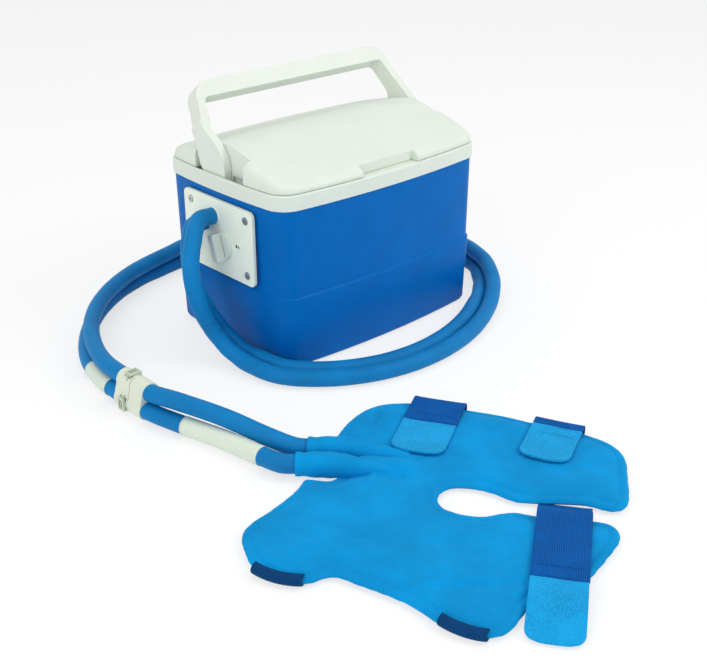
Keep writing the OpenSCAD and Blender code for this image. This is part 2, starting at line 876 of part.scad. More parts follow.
// blocks of skin round the handle notches and finger recesses
module notch_blocks(wall) {
    for (sx = [-1, 1]) scale([sx, 1, 1])
        translate([ear_x1 - wall, -notch_w / 2 - wall, lid_z - 20])
            cube([30, notch_w + 2 * wall, lid_rise + 40]);
    for (sy = [-1, 1]) scale([1, sy, 1])
        translate([-recess_l / 2 - wall, lid_w / 2 - recess_d - wall, lid_z - 20])
            cube([recess_l + 2 * wall, 30, lid_rise + 40]);
}

module lid_shell() {
    color(white) difference() {
        union() {
            difference() {
                lid_block();
                difference() {
                    lid_inside(lid_wall, lid_z - over);
                    notch_blocks(ear_x1 - ear_x0);
                }
                notch_blocks(0);
            }
            for (sx = [-1, 1]) scale([sx, 1, 1]) {
                rod_x(ear_x0, ear_x1, 0, pivot_z, ear_r);
                translate([ear_x0, -ear_r, pivot_z])
                    cube([ear_x1 - ear_x0, 2 * ear_r, lid_z + 4 - pivot_z]);
            }
        }
        rod_x(-ear_x1 - over, ear_x1 + over, 0, pivot_z, pivot_r + 0.02);
    }
}

pan_t = 2;
pan_gap = 0.2;
plug_gap = 3;
plug_z0 = shell_h + 2;
plug_l = tub_l - 2 * plug_gap;
plug_w = tub_w - 2 * plug_gap;
plug_corner_r = tub_corner_r - plug_gap;
seal_z = collar_z - 8;

module plug_shape(inset) {
    rounded_rect(plug_l - 2 * inset, plug_w - 2 * inset, plug_corner_r - inset);
}

module lid_pan() {
    color(white) difference() {
        union() {
            difference() {
                loft([
                    at_height(lid_outline(lid_wall + pan_gap), lid_z + 0.2),
                    at_height(lid_outline(lid_wall + pan_gap + pan_t), lid_z + 0.2 + pan_t)
                ]);
                notch_blocks(ear_x1 - ear_x0 + pan_gap);
            }
            translate([0, 0, plug_z0]) linear_extrude(lid_z + 1 - plug_z0) plug_shape(0);
        }
        translate([0, 0, plug_z0 + pan_t]) linear_extrude(30) plug_shape(pan_t);
        translate([0, 0, seal_z]) linear_extrude(4) difference() {
            plug_shape(-2);
            plug_shape(1.2);
        }
    }
}

module lid_seal() {
    color(grey) translate([0, 0, seal_z + fit]) linear_extrude(4 - 2 * fit) difference() {
        plug_shape(-plug_gap + clear);
        plug_shape(1.2 - fit);
    }
}

module lid_foam() {
    color("khaki") {
        difference() {
            intersection() {
                lid_inside(lid_wall + pan_gap, lid_z + pan_t + 0.4);
                translate([0, 0, lid_z + pan_t + 2 * pan_gap]) linear_extrude(lid_rise + 20)
                    rounded_rect(tub_l, tub_w + 16, tub_corner_r);
            }
            notch_blocks(ear_x1 - ear_x0 + pan_gap);
        }
        translate([0, 0, plug_z0 + pan_t + pan_gap])
            linear_extrude(lid_z + pan_t + 3 - plug_z0 - pan_t)
                plug_shape(pan_t + pan_gap);
    }
}

// ---- handle ----

leg_gap = 0.4;
leg_x0 = ear_x1 + leg_gap;
leg_x1 = leg_x0 + leg_t;
straight_s = 52;
leg_lean = 6.4;
grip_corner_r = 20;
inner_corner_r = 6;
arc_steps = 8;
foot_steps = [[9, 58], [10.4, 48], [14.2, 38], [17.5, 27], [17.8, 16], [13, 6], [7, 0]];

function arc(cx, cy, r, a0, a1) =
    [for (i = [0 : arc_steps])
        let (a = mix(a0, a1, i / arc_steps)) [cx + r * cos(a), cy + r * sin(a)]];

function mirrored(points) = [for (i = [len(points) - 1 : -1 : 0]) [-points[i].x, points[i].y]];

module bail_shape() {
    top = handle_reach;
    under = top - grip_t;
    outer = concat(
        [[leg_x1, 2], [leg_x1, straight_s]],
        arc(leg_x1 - leg_lean - grip_corner_r, top - grip_corner_r, grip_corner_r, 0, 90)
    );
    inner = concat(
        [[leg_x0, 2], [leg_x0, straight_s - 2]],
        arc(leg_x0 - leg_lean - inner_corner_r, under - inner_corner_r, inner_corner_r, 0, 90)
    );
    difference() {
        polygon(concat(outer, mirrored(outer)));
        polygon(concat([[leg_x0, 0]], inner, mirrored(inner), [[-leg_x0, 0]]));
    }
}

module handle_foot() {
    polygon(concat(foot_steps, mirrored(foot_steps)));
    circle(r = ear_r);
}

module handle() {
    color(white) translate([0, 0, pivot_z]) rotate([-handle_lean, 0, 0]) difference() {
        union() {
            along_y(-handle_w / 2, handle_w / 2) bail_shape();
            for (sx = [-1, 1]) scale([sx, 1, 1]) along_x(leg_x0, leg_x1) handle_foot();
        }
        rod_x(-leg_x1 - over, leg_x1 + over, 0, 0, pivot_r + run);
    }
}

module handle_pins() {
    color(steel) for (sx = [-1, 1]) scale([sx, 1, 1])
        rod_x(ear_x0 - 0.8, leg_x1 + 0.2, 0, pivot_z, pivot_r);
}

// ---- twin hose ----

// the pair's middle line, and the direction from its return to its supply hose
hose_route = [
    [port_face_x, port_mid[0], port_mid[1], 0, -0.82, 0.57],
    [-150, 9, 128, -0.3, -0.8, 0.5],
    [-165, -3, 118, -0.4, -0.8, 0.2],
    [-174, -12, 99, -0.5, -0.8, 0],
    [-173, -16, 76, -0.6, -0.8, 0],
    [-165, -18, 52, -0.7, -0.7, 0],
    [-153, -23, 28, -0.8, -0.6, 0.1],
    [-144, -38, 11.5, -1, -0.2, 0.3],
    [-141, -62, 8.6, -1, 0, 0],
    [-135, -92, 8.2, -1, -0.4, 0],
    [-110, -121, 8.2, -0.6, -0.8, 0],
    [-72, -143, 8.2, -0.3, -1, 0],
    [-30, -153, 8.2, 0, -1, 0],
    [14, -152, 8.2, 0.1, -1, 0],
    [56, -142, 8.2, 0.3, -1, 0],
    [97, -124, 9, 0.5, -0.9, 0.1],
    [132, -102, 12, 0.5, -0.7, 0.5],
    [160, -74, 15, 0.4, -0.4, 0.9],
    [180, -40, 16.3, 0, 0, 1],
    [187, 0, 16.3, 0, 0, 1],
    [181, 45, 16.3, 0, 0, 1],
    [160, 92, 16.3, 0, 0, 1],
    [126, 132, 16.3, 0, 0, 1],
    [84, 162, 16.3, 0, 0, 1],
    [40, 182, 16.3, 0, 0, 1],
    [-2, 190, 16.3, 0, 0, 1],
    [-40, 189, 16.3, 0, 0, 1],
    [-78, 181, 16.3, 0, -0.2, 1],
    [-115, 172, 16.2, 0.1, -0.3, 1],
    [-154, 155, 16, 0.2, -0.3, 1],
    [-194, 126, 16, 0.2, -0.3, 1],
    [-228, 87, 16, 0.3, -0.2, 1],
    [-250, 47, 16, 0.4, -0.1, 1],
    [-262, 5, 16.5, 0.3, 0, 1],
    [-264, -30, 17, 0.26, 0, 0.97]
];
hose_r = hose_d / 2;
hose_mid = [for (p = hose_route) [p[0], p[1], p[2]]];
hose_ends = [[-1, 0, 0], [0, -1, 0]];
hose_split = [for (i = [0 : len(hose_route) - 1])
    let (p = hose_route[i]) square_to([p[3], p[4], p[5]], ring_direction(hose_mid, i, hose_ends))];
supply_line = [for (i = [0 : len(hose_mid) - 1]) hose_mid[i] + port_step * hose_split[i]];
return_line = [for (i = [0 : len(hose_mid) - 1]) hose_mid[i] - port_step * hose_split[i]];

module hose_supply() {
    color(blue) tube(supply_line, hose_split, hose_ends, hose_r);
}

module hose_return() {
    color(blue) tube(return_line, hose_split, hose_ends, hose_r);
}

label_gap = 0.08;
label_t = 0.15;

// wrapped round the return hose just before the coupling
module hose_label() {
    n = len(return_line);
    line = [
        mix(return_line[n - 3], return_line[n - 2], 0.43), return_line[n - 2],
        mix(return_line[n - 2], return_line[n - 1], 0.6)
    ];
    guide = [for (i = [n - 3 : n - 1]) hose_split[i]];
    ends = [unit(line[1] - line[0]), unit(line[2] - line[1])];
    color(white) tube_sleeve(line, guide, ends, hose_r + label_gap, hose_r + label_gap + label_t);
}

// ---- coupling ----

coupling_mid = [-264, 17];
coupling_dir = unit([0.26, 0.97]);
bore_a = coupling_mid + port_step * coupling_dir;
bore_b = coupling_mid - port_step * coupling_dir;
coupling_y0 = -30;
joint_y = -50;
plug_y1 = -69;
plug_gap_y = 0.4;
inner_r = 3.5;
nipple_l = 13;
seal_r = 0.9;
button_t = 1.8;
button_w = 12;
button_l = 9;
fork_t = 1.6;
fork_y = -44;
flat_u = 6.8;

// the two round bodies side by side, with a web between them
module twin_round(r) {
    for (p = [bore_a, bore_b]) translate(p) circle(r = r);
    translate(coupling_mid) rotate(-atan(coupling_dir.x / coupling_dir.y))
        square([2 * r - 1, 2 * port_step], center = true);
}

// places children at one bore with their z pointing out of the block
module at_latch(p, turn) {
    translate([p[0], 0, p[1]]) rotate([0, turn, 0]) children();
}

module latch_slot() {
    along_y(fork_y - fork_t - 0.2, fork_y + 0.2) translate([-7.8, -5.4]) square([15.6, 30]);
    translate([-button_w / 2 - 0.4, fork_y - 4.2, flat_u]) cube([button_w + 0.8, button_l + 0.6, 20]);
    rod_z(flat_u - 2.4 + 2, flat_u + over, 0, fork_y + 2.2, 2);
}

module coupling_socket() {
    color(white) difference() {
        along_y(joint_y, coupling_y0) twin_round(coupling_r);
        for (p = [bore_a, bore_b]) {
            rod_y(joint_y - over, joint_y + nipple_l + 1, p[0], p[1], nipple_r + run);
            rod_y(joint_y, coupling_y0 + over, p[0], p[1], inner_r);
        }
        at_latch(bore_a, 0) latch_slot();
        at_latch(bore_b, -90) latch_slot();
    }
}

module latch_fork() {
    web = flat_u + latch_travel + 0.4;
    difference() {
        along_y(fork_y - fork_t, fork_y) difference() {
            translate([-7.5, -3]) square([15, web + 3.2]);
            translate([0, latch_travel]) circle(r = nipple_r + 0.4);
            translate([-nipple_r - 0.4, -4]) square([2 * nipple_r + 0.8, latch_travel + 4]);
        }
    }
    translate([-button_w / 2, fork_y - 4, web]) cube([button_w, button_l, button_t]);
}

module latch_button_a() {
    color(grey) at_latch(bore_a, 0) latch_fork();
}

module latch_button_b() {
    color(grey) at_latch(bore_b, -90) latch_fork();
}

module latch_spring() {
    difference() {
        rod_z(flat_u - 0.4, flat_u + 0.2, 0, fork_y + 2.2, 1.8);
        rod_z(flat_u - over, flat_u + over, 0, fork_y + 2.2, 1.2);
    }
}

module latch_springs() {
    color(steel) {
        at_latch(bore_a, 0) latch_spring();
        at_latch(bore_b, -90) latch_spring();
    }
}

module coupling_plug() {
    color(white) difference() {
        union() {
            along_y(plug_y1, joint_y - plug_gap_y) twin_round(coupling_r);
            for (p = [bore_a, bore_b])
                rod_y(joint_y - 2, joint_y + nipple_l, p[0], p[1], nipple_r);
        }
        for (p = [bore_a, bore_b]) {
            rod_y(plug_y1 - over, joint_y + nipple_l + over, p[0], p[1], inner_r);
            translate([p[0], joint_y + nipple_l - 3, p[1]]) rotate([90, 0, 0])
                rotate_extrude() translate([nipple_r - 2 * seal_r - fit, -seal_r - fit])
                    square([3, 2 * (seal_r + fit)]);
        }
    }
}

module plug_seals() {
    color(black) for (p = [bore_a, bore_b])
        translate([p[0], joint_y + nipple_l - 3, p[1]]) rotate([90, 0, 0])
            rotate_extrude() translate([nipple_r - seal_r, 0]) circle(r = seal_r, $fn = 16);
}

// ---- hoses from the coupling to the pad ----

pad_supply_line = [
    [bore_a[0], plug_y1, bore_a[1]], [-254.5, -96, 25.6], [-239, -142, 23.2],
    [-223, -186, 15.6], [-214, -203, 12], [-207, -210, 11]
];
pad_return_line = [
    [bore_b[0], plug_y1, bore_b[1]], [-258.5, -102, 8.4], [-246, -150, 8.4],
    [-240, -192, 9.5], [-236, -214, 11], [-229, -221, 11]
];
pad_hose_ends = [[0, -1, 0], unit([1, -1, 0])];

module pad_hose_supply() {
    color(blue) tube(pad_supply_line, same_guide(pad_supply_line, [0, 0, 1]), pad_hose_ends, hose_r);
}

module pad_hose_return() {
    color(blue) tube(pad_return_line, same_guide(pad_return_line, [0, 0, 1]), pad_hose_ends, hose_r);
}

module pad_label() {
    line = [
        mix(pad_return_line[1], pad_return_line[2], 0.13), pad_return_line[2], pad_return_line[3],
        mix(pad_return_line[3], pad_return_line[4], 0.2)
    ];
    ends = [unit(line[1] - line[0]), unit(line[3] - line[2])];
    color(white) tube_sleeve(line, same_guide(line, [0, 0, 1]), ends,
        hose_r + label_gap, hose_r + label_gap + label_t);
}

// ---- knee pad ----

// the pad's edge, counter-clockwise from the hose ports, round the knee hole
pad_edge = [
    [-231, -236], [-240, -239], [-250, -243], [-266, -247], [-283, -250], [-298, -252], [-310, -257],
    [-318, -266], [-324, -278], [-329, -290], [-330, -302], [-326, -315], [-320, -326],
    [-310, -334], [-300, -336], [-293, -341], [-290, -352], [-284, -370], [-279, -389],
    [-277, -406], [-277, -420], [-272, -438], [-265, -451], [-252, -458], [-238, -456],
    [-222, -452], [-206, -452], [-190, -456], [-174, -460], [-158, -459], [-139, -455],
    [-122, -451], [-112, -446], [-106, -437], [-108, -427], [-117, -415], [-128, -401],
    [-138, -388], [-145, -376], [-154, -369], [-166, -363], [-174, -354], [-179, -343],
    [-180, -333], [-175, -324], [-164, -319], [-153, -322], [-145, -331], [-139, -342],
    [-136, -354], [-134, -365], [-128, -373], [-101, -401], [-95, -412],
    [-91, -422], [-84, -427], [-74, -426], [-60, -417], [-42, -403], [-27, -391],
    [-17, -378], [-14, -362], [-17, -343], [-24, -322], [-34, -302], [-44, -277],
    [-58, -251], [-71, -228], [-85, -209], [-97, -198], [-110, -191], [-126, -189],
    [-145, -193], [-160, -199], [-173, -206], [-185, -216], [-177, -224], [-193, -240],
    [-216, -250.5]
];

// the pad's flat faces in simple pieces, by the numbers of their edge points
pad_parts = [
    concat([43, 44, 77, 78], [for (i = [0 : 14]) i]),
    concat([43], [for (i = [14 : 27]) i]),
    [for (i = [27 : 43]) i],
    concat([44, 45, 46], [for (i = [65 : 74]) i], [76, 77]),
    [74, 75, 76],
    concat([for (i = [46 : 51]) i], [for (i = [61 : 65]) i]),
    [for (i = [51 : 61]) i]
];

function inward(outline, i) =
    let (
        n = len(outline),
        dir = unit(unit(outline[i] - outline[(i + n - 1) % n])
            + unit(outline[(i + 1) % n] - outline[i]))
    )
    [-dir.y, dir.x];

function pad_ring(inset, z) =
    [for (i = [0 : len(pad_edge) - 1])
        let (p = pad_edge[i] + inset * inward(pad_edge, i)) [p.x, p.y, z]];

boot_l = 30;
boot_z = 11;
boot_places = [[-207, -210], [-229, -221]];
slot_h = strap_t + 0.3;

// places a strap's section (along the strap, height) over the pad's edge
module band(edge, angle, width) {
    translate([edge.x, edge.y, 0]) rotate([0, 0, angle])
        along_y(-width / 2, width / 2) children();
}

strap_top = pad_t + clear;
wrap_in = 22;
strap_out = 2.6;
lip_h = 6;

module strap_slot(edge, angle, width) {
    band(edge, angle, width + 1) translate([-wrap_in - 0.4, -over])
        square([wrap_in + 10, slot_h + over]);
}

// a strap that wraps from under the pad over its edge, reach mm onto its top
module wrap_section(reach) {
    polygon([
        [-reach, strap_top], [-reach, strap_top + strap_t],
        [strap_out, strap_top + strap_t], [strap_out + strap_t, strap_top],
        [strap_out + strap_t, strap_t], [strap_out, 0.05], [-wrap_in, 0.05],
        [-wrap_in, strap_t], [strap_out - 1, strap_t], [strap_out, strap_t + 1],
        [strap_out, strap_top - 1], [strap_out - 1, strap_top]
    ]);
}

// a strap that shows only as a turned-up end under the pad's edge
module lip_section() {
    polygon([
        [-wrap_in, 0.05], [strap_out, 0.05], [strap_out + strap_t, strap_t],
        [strap_out + strap_t, lip_h], [strap_out, lip_h], [strap_out, strap_t + 1],
        [strap_out - 1, strap_t], [-wrap_in, strap_t]
    ]);
}

top_left_edge = [-72, -229];
top_left_turn = 30;
top_left_w = 46;
top_left_reach = 38;
top_right_edge = [-25, -322];
top_right_turn = 25;
top_right_w = 42;
top_right_reach = 9;
right_edge = [-112, -396];
right_turn = 215.3;
right_w = 41;
right_end = 96;
lower_left_edge = [-324.6, -313.4];
lower_left_turn = 205;
lower_left_w = 38;
lower_edge = [-270.6, -436.5];
lower_turn = 199;
lower_w = 34;

module pad() {
    color(pale_blue) difference() {
        loft([
            pad_ring(3, 0), pad_ring(0, 2.6), pad_ring(0.3, 0.6 * pad_t),
            pad_ring(1.8, 0.88 * pad_t), pad_ring(4.5, pad_t)
        ], pad_parts);
        strap_slot(top_left_edge, top_left_turn, top_left_w);
        strap_slot(top_right_edge, top_right_turn, top_right_w);
        strap_slot(lower_left_edge, lower_left_turn, lower_left_w);
        strap_slot(lower_edge, lower_turn, lower_w);
    }
}

module port_boots() {
    color(pale_blue) for (p = boot_places)
        translate([p.x, p.y, boot_z]) rotate([0, 0, -45]) rotate([0, 90, 0])
            cylinder(h = boot_l, r1 = boot_r - 1, r2 = boot_r);
}

module top_left_strap() {
    color(navy) band(top_left_edge, top_left_turn, top_left_w) wrap_section(top_left_reach);
}

module top_right_strap() {
    color(navy) band(top_right_edge, top_right_turn, top_right_w) wrap_section(top_right_reach);
}

// a soft tab that lies on the pad from the end of its strap
module tab(edge, angle, width, start, length) {
    corner = 12;
    translate([edge.x, edge.y, strap_top]) rotate([0, 0, angle]) linear_extrude(strap_t)
        translate([-start - 0.1 - length / 2, 0]) {
            rounded_rect(length, width, corner);
            translate([length / 2 - corner, -width / 2]) square([corner, width]);
        }
}

module top_left_tab() {
    color(pale_blue) tab(top_left_edge, top_left_turn, top_left_w - 1, top_left_reach, 50);
}

module top_right_tab() {
    color(pale_blue) tab(top_right_edge, top_right_turn, top_right_w, top_right_reach, 54);
}

// sewn to the edge of one wing, it rises through the slit onto the other
module right_strap() {
    t = strap_t;
    color(navy) band(right_edge, right_turn, right_w) polygon([
        [0.4, 0.05], [4, 0.05], [6, 1], [14.5, strap_top], [right_end, strap_top],
        [right_end, strap_top + t], [13, strap_top + t], [4, t + 0.6], [3, t], [0.4, t]
    ]);
}

// lies on the lower wing and droops over its edge to the floor
module right_tab() {
    t = strap_t;
    color(pale_blue) intersection() {
        band(right_edge, right_turn, right_w - 1) polygon([
            [right_end + 0.1, strap_top], [right_end + 21, strap_top],
            [right_end + 36, 6], [right_end + 56, 1], [right_end + 56, 1 + t],
            [right_end + 36, 6 + t], [right_end + 21, strap_top + t],
            [right_end + 0.1, strap_top + t]
        ]);
        translate([right_edge.x, right_edge.y, 0]) rotate([0, 0, right_turn])
            linear_extrude(30) translate([right_end + 16, 0]) rounded_rect(80, right_w - 1, 10);
    }
}

module lower_left_strap() {
    color(navy) band(lower_left_edge, lower_left_turn, lower_left_w) lip_section();
}

module lower_strap() {
    color(navy) band(lower_edge, lower_turn, lower_w) lip_section();
}

body_shell();
insulation_foam();
liner_tub();
collar();
end_plate();
plate_gasket();
plate_screws();
clamp_plate();
screw_nuts();
hose_gland();
valve_body();
power_socket();
socket_nut();
pump_lead();
pump_housing();
pump_cover();
motor_windings();
suction_strainer();
pump_feet();
supply_pipe();
delivery_pipe();
return_pipe();
pipe_clamps();
hose_supply();
hose_return();
coupling_socket();
latch_springs();
hose_label();
flow_knob();
valve_spindle();
knob_screw();
impeller();
impeller_shaft();
rotor_magnet();
lid_shell();
lid_foam();
lid_pan();
lid_seal();
handle_pins();
handle();
latch_button_a();
latch_button_b();
coupling_plug();
plug_seals();
pad_hose_supply();
pad_hose_return();
pad_label();
port_boots();
pad();
top_left_strap();
top_left_tab();
top_right_strap();
top_right_tab();
right_strap();
right_tab();
lower_left_strap();
lower_strap();
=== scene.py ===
import json
import math

import bmesh
import bpy
from mathutils import Matrix, Vector, noise
from mathutils.kdtree import KDTree


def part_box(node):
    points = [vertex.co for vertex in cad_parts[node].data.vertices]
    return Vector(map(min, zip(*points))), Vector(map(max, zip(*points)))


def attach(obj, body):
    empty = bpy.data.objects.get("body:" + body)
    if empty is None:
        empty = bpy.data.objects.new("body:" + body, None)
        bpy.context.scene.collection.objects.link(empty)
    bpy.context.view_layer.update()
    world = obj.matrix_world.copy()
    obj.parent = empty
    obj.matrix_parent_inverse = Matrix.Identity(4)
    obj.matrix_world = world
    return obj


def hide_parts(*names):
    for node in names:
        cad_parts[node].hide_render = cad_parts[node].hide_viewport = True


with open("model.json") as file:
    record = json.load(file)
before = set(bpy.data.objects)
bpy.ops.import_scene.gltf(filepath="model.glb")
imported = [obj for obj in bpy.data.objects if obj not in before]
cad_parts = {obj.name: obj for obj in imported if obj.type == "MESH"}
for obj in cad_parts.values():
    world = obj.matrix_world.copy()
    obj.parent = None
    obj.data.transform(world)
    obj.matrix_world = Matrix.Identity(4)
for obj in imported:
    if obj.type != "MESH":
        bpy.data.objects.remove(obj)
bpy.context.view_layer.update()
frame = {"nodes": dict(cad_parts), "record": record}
mm = 0.001
print("frame loaded:", len(frame["nodes"]), "nodes")


# camera first: solved from the cooler's edges in the photograph
cameraSettings = {
    "place": (-0.7158, -0.8145, 0.5045),
    "looks": (0.60786, 0.65739, -0.44535),
    "lens": 58.6,
    "sensor": 36,
    "near": 0.01,
}
cameraData = bpy.data.cameras.new("viewCamera")
cameraData.lens = cameraSettings["lens"]
cameraData.sensor_width = cameraSettings["sensor"]
cameraData.clip_start = cameraSettings["near"]
viewCamera = bpy.data.objects.new("viewCamera", cameraData)
viewCamera.location = cameraSettings["place"]
viewCamera.rotation_euler = Vector(cameraSettings["looks"]).to_track_quat("-Z", "Y").to_euler()
bpy.context.scene.collection.objects.link(viewCamera)
bpy.context.scene.camera = viewCamera


# shader maths: a socket that understands + - * and can be given to any node
class Wire:
    def __init__(self, sheet, socket):
        self.sheet = sheet
        self.socket = socket

    def worked(self, operation, first, second, clamp=False):
        return self.sheet.add("ShaderNodeMath", {"operation": operation, "use_clamp": clamp},
                              [first, second])

    def highest(self, other):
        return self.worked("MAXIMUM", self, other)

    def sine(self):
        return self.worked("SINE", self, 0)

    def limited(self):
        return self.worked("ADD", self, 0, clamp=True)


# its operators, with their reflected forms
for mark, operation in (("add", "ADD"), ("sub", "SUBTRACT"), ("mul", "MULTIPLY")):
    setattr(Wire, f"__{mark}__", lambda wire, other, o=operation: wire.worked(o, wire, other))
    setattr(Wire, f"__r{mark}__", lambda wire, other, o=operation: wire.worked(o, other, wire))


# the nodes of one material, or of the world
class Sheet:
    def __init__(self, owner, shader="Principled BSDF"):
        owner.use_nodes = True
        self.owner = owner
        self.nodes = owner.node_tree.nodes
        self.links = owner.node_tree.links
        self.shader = self.nodes[shader]

    def feed(self, socket, value):
        if isinstance(value, Wire):
            self.links.new(value.socket, socket)
        elif hasattr(socket.default_value, "__len__") and len(socket.default_value) == 4:
            socket.default_value = (*value[:3], 1)
        else:
            socket.default_value = value

    def add(self, kind, settings=None, values=(), output=0):
        node = self.nodes.new(kind)
        for key, value in (settings or {}).items():
            setattr(node, key, value)
        pairs = values.items() if isinstance(values, dict) else enumerate(values)
        for key, value in pairs:
            self.feed(node.inputs[key], value)
        return Wire(self, node.outputs[output])

    def place(self, kind="Object"):
        return self.add("ShaderNodeTexCoord", output=kind)

    def axis(self, vector, name):
        return self.add("ShaderNodeSeparateXYZ", {}, [vector], name)

    def scaled(self, vector, scale, turn=(0, 0, 0)):
        return self.add("ShaderNodeMapping", {}, {"Vector": vector, "Scale": scale, "Rotation": turn})

    def noise(self, vector, scale=1, detail=3, rough=0.5):
        return self.add("ShaderNodeTexNoise", {}, {"Vector": vector, "Scale": scale,
                                                  "Detail": detail, "Roughness": rough})

    def cells(self, vector, scale):
        return self.add("ShaderNodeTexVoronoi", {}, {"Vector": vector, "Scale": scale}, "Distance")

    # sockets 6 and 7 are the Mix node's two colours, and output 2 is what it makes of them
    def between(self, amount, first, second):
        return self.add("ShaderNodeMix", {"data_type": "RGBA"}, {0: amount, 6: first, 7: second}, 2)

    def eased(self, value, low, high):
        return self.add("ShaderNodeMapRange", {"interpolation_type": "SMOOTHSTEP"}, [value, low, high])

    def bump(self, height, strength, distance, under=None):
        values = {"Strength": strength, "Distance": distance, "Height": height}
        if under:
            values["Normal"] = under
        return self.add("ShaderNodeBump", {}, values)

    def nap(self, weight, rough, tint, shine):
        self.surface(Sheen_Weight=weight, Sheen_Roughness=rough, Sheen_Tint=tint, Specular_IOR_Level=shine)

    # 1 where the camera, a mirror or glass sees the surface, and 0 where it only lights others
    def seen(self):
        camera, glossy, through = (self.add("ShaderNodeLightPath", output=f"Is {kind} Ray")
                                   for kind in ("Camera", "Glossy", "Transmission"))
        return camera.highest(glossy).highest(through)

    def finish(self, tone, rough, normal, **others):
        return self.surface(Base_Color=tone, Roughness=rough.limited(), Normal=normal, **others)

    def surface(self, **values):
        for key, value in values.items():
            self.feed(self.shader.inputs[key.replace("_", " ")], value)
        return self.owner


# a darker or a lighter shade of a colour
def shade(colour, amount):
    return tuple(min(1, c * amount) for c in colour)


def newSheet(name):
    return Sheet(bpy.data.materials.new(name))


plasticSettings = {
    "grain": 900,          # pimples per metre
    "grainHeight": 0.00004,
    "waviness": 14,        # slow swells of the moulded wall, per metre
    "waveHeight": 0.0007,
    "patches": 34,         # patches of wear per metre
    "scratches": (40, 700, 90),
}


# moulded plastic: fine grain, slow swells, scuffs and patches of wear
def mouldedPlastic(name, colour, rough=0.4, grain=1.0, swell=1.0, scuff=0.5, shine=0.5, blotch=0.04):
    s = newSheet(name)
    at = s.place()
    pimples = s.noise(at, plasticSettings["grain"], detail=2, rough=0.6)
    swells = s.noise(at, plasticSettings["waviness"], detail=2, rough=0.4)
    patches = s.noise(at, plasticSettings["patches"], detail=4, rough=0.6)
    scratches = s.noise(s.scaled(at, plasticSettings["scratches"], turn=(0.3, 0.2, 0.5)), rough=0.7)
    marks = s.eased(scratches, 0.62, 0.78) * scuff
    worn = s.eased(patches, 0.3, 0.75)
    tone = s.between(worn, shade(colour, 1 - blotch), shade(colour, 1 + blotch))
    tone = s.between(marks * 0.12, tone, shade(colour, 1.35))
    wave = s.bump(swells, 0.5, plasticSettings["waveHeight"] * swell)
    fine = s.bump(pimples, 0.6, plasticSettings["grainHeight"] * grain, under=wave)
    return s.finish(tone, rough + patches * 0.12 - 0.06 + marks * 0.15, fine, Specular_IOR_Level=shine)


# cast and drawn metal: fine lines one way, with stains
def drawnMetal(name, colour, rough=0.3):
    s = newSheet(name)
    at = s.place()
    lines = s.noise(s.scaled(at, (60, 2400, 2400)), rough=0.6)
    stains = s.noise(at, scale=260, rough=0.6)
    tone = s.between(s.eased(stains, 0.35, 0.7), shade(colour, 0.82), colour)
    return s.finish(tone, rough + lines * 0.2 - 0.05, s.bump(lines, 0.3, 0.00003), Metallic=1.0)


# rubber: dull, with a dusty bloom
def softRubber(name, colour):
    s = newSheet(name)
    at = s.place()
    bloom = s.noise(at, scale=90, detail=4, rough=0.6)
    pores = s.noise(at, scale=1800, detail=2, rough=0.6)
    tone = s.between(s.eased(bloom, 0.4, 0.8), colour, shade(colour, 1.7))
    return s.finish(tone, 0.62 + bloom * 0.2, s.bump(pores, 0.5, 0.00005))


# rigid foam: open beads, with painted shade in the gaps between them
def beadFoam(name, colour):
    s = newSheet(name)
    at = s.place()
    beads = s.cells(at, scale=420)
    dust = s.noise(at, scale=60, detail=4, rough=0.6)
    # darker towards the edges of each bead: painted shade in the gaps between the beads
    tone = s.between(s.eased(beads, 0.25, 0.6), colour, shade(colour, 0.72))
    tone = s.between(dust * 0.3, tone, shade(colour, 0.85))
    return s.surface(Base_Color=tone, Roughness=0.9, Normal=s.bump(1 - beads, 0.5, 0.0006))


# enamelled copper wire wound side by side, with painted shade in the grooves between the turns
def woundWire(name, colour):
    s = newSheet(name)
    turns = (s.axis(s.place(), "Y") * 9000).sine() * 0.5 + 0.5
    # darker in the troughs between the turns: painted shade in the grooves
    tone = s.between(turns, shade(colour, 0.45), colour)
    return s.surface(Base_Color=tone, Metallic=0.8, Roughness=0.35 - turns * 0.1,
                     Normal=s.bump(turns, 0.8, 0.0003))


# clear flexible tube, slightly clouded
def cloudedTube(name, colour):
    s = newSheet(name)
    haze = s.noise(s.place(), scale=120)
    tone = s.between(s.eased(haze, 0.3, 0.7), colour, shade(colour, 0.86))
    return s.finish(tone, 0.16 + haze * 0.15, s.bump(haze, 0.3, 0.0003), Transmission_Weight=0.35, IOR=1.42)


# the dark colour serves as painted shade in the sleeve's creases and also as its darker streaks
hoseFinish = {
    "colour": (0.0, 0.165, 0.42), "dark": (0.0, 0.07, 0.22), "tint": (0.15, 0.75, 1.0),
    "sheen": 0.12, "shine": 0.16,
}


# the hose's foam sleeve: closed cells under a thin skin, creased with painted shade in the creases, and
# streaked
def foamSleeve(name, colour, dark):
    s = newSheet(name)
    at = s.place()
    uv = s.place("UV")
    cells = s.cells(at, scale=1100)
    patches = s.noise(at, scale=26, detail=4, rough=0.6)
    creases = s.eased(s.noise(s.scaled(uv, (150, 3, 1)), rough=0.6), 0.58, 0.75)
    streaks = s.noise(s.scaled(uv, (6, 40, 1)), rough=0.6)
    tone = s.between(s.eased(patches, 0.3, 0.75), colour, shade(colour, 1.22))
    # the creases are darkened: painted shade
    tone = s.between(creases * 0.35, tone, dark)
    tone = s.between(s.eased(streaks, 0.5, 0.8) * 0.25, tone, dark)
    s.nap(hoseFinish["sheen"], 0.4, hoseFinish["tint"], hoseFinish["shine"])
    folds = s.bump(creases, 0.5, 0.0005)
    return s.finish(tone, 0.5 + patches * 0.14, s.bump(cells, 0.45, 0.00012, under=folds))


clothSettings = {
    "padTint": (0.1, 0.75, 1.0), "tabTint": (0.2, 0.8, 1.0), "elasticTint": (0.1, 0.6, 1.0),
    "shine": 0.12,
    "ribWidth": 0.0016,    # ribs across an elastic strap, and picks along it
    "pickWidth": 0.0011,
}


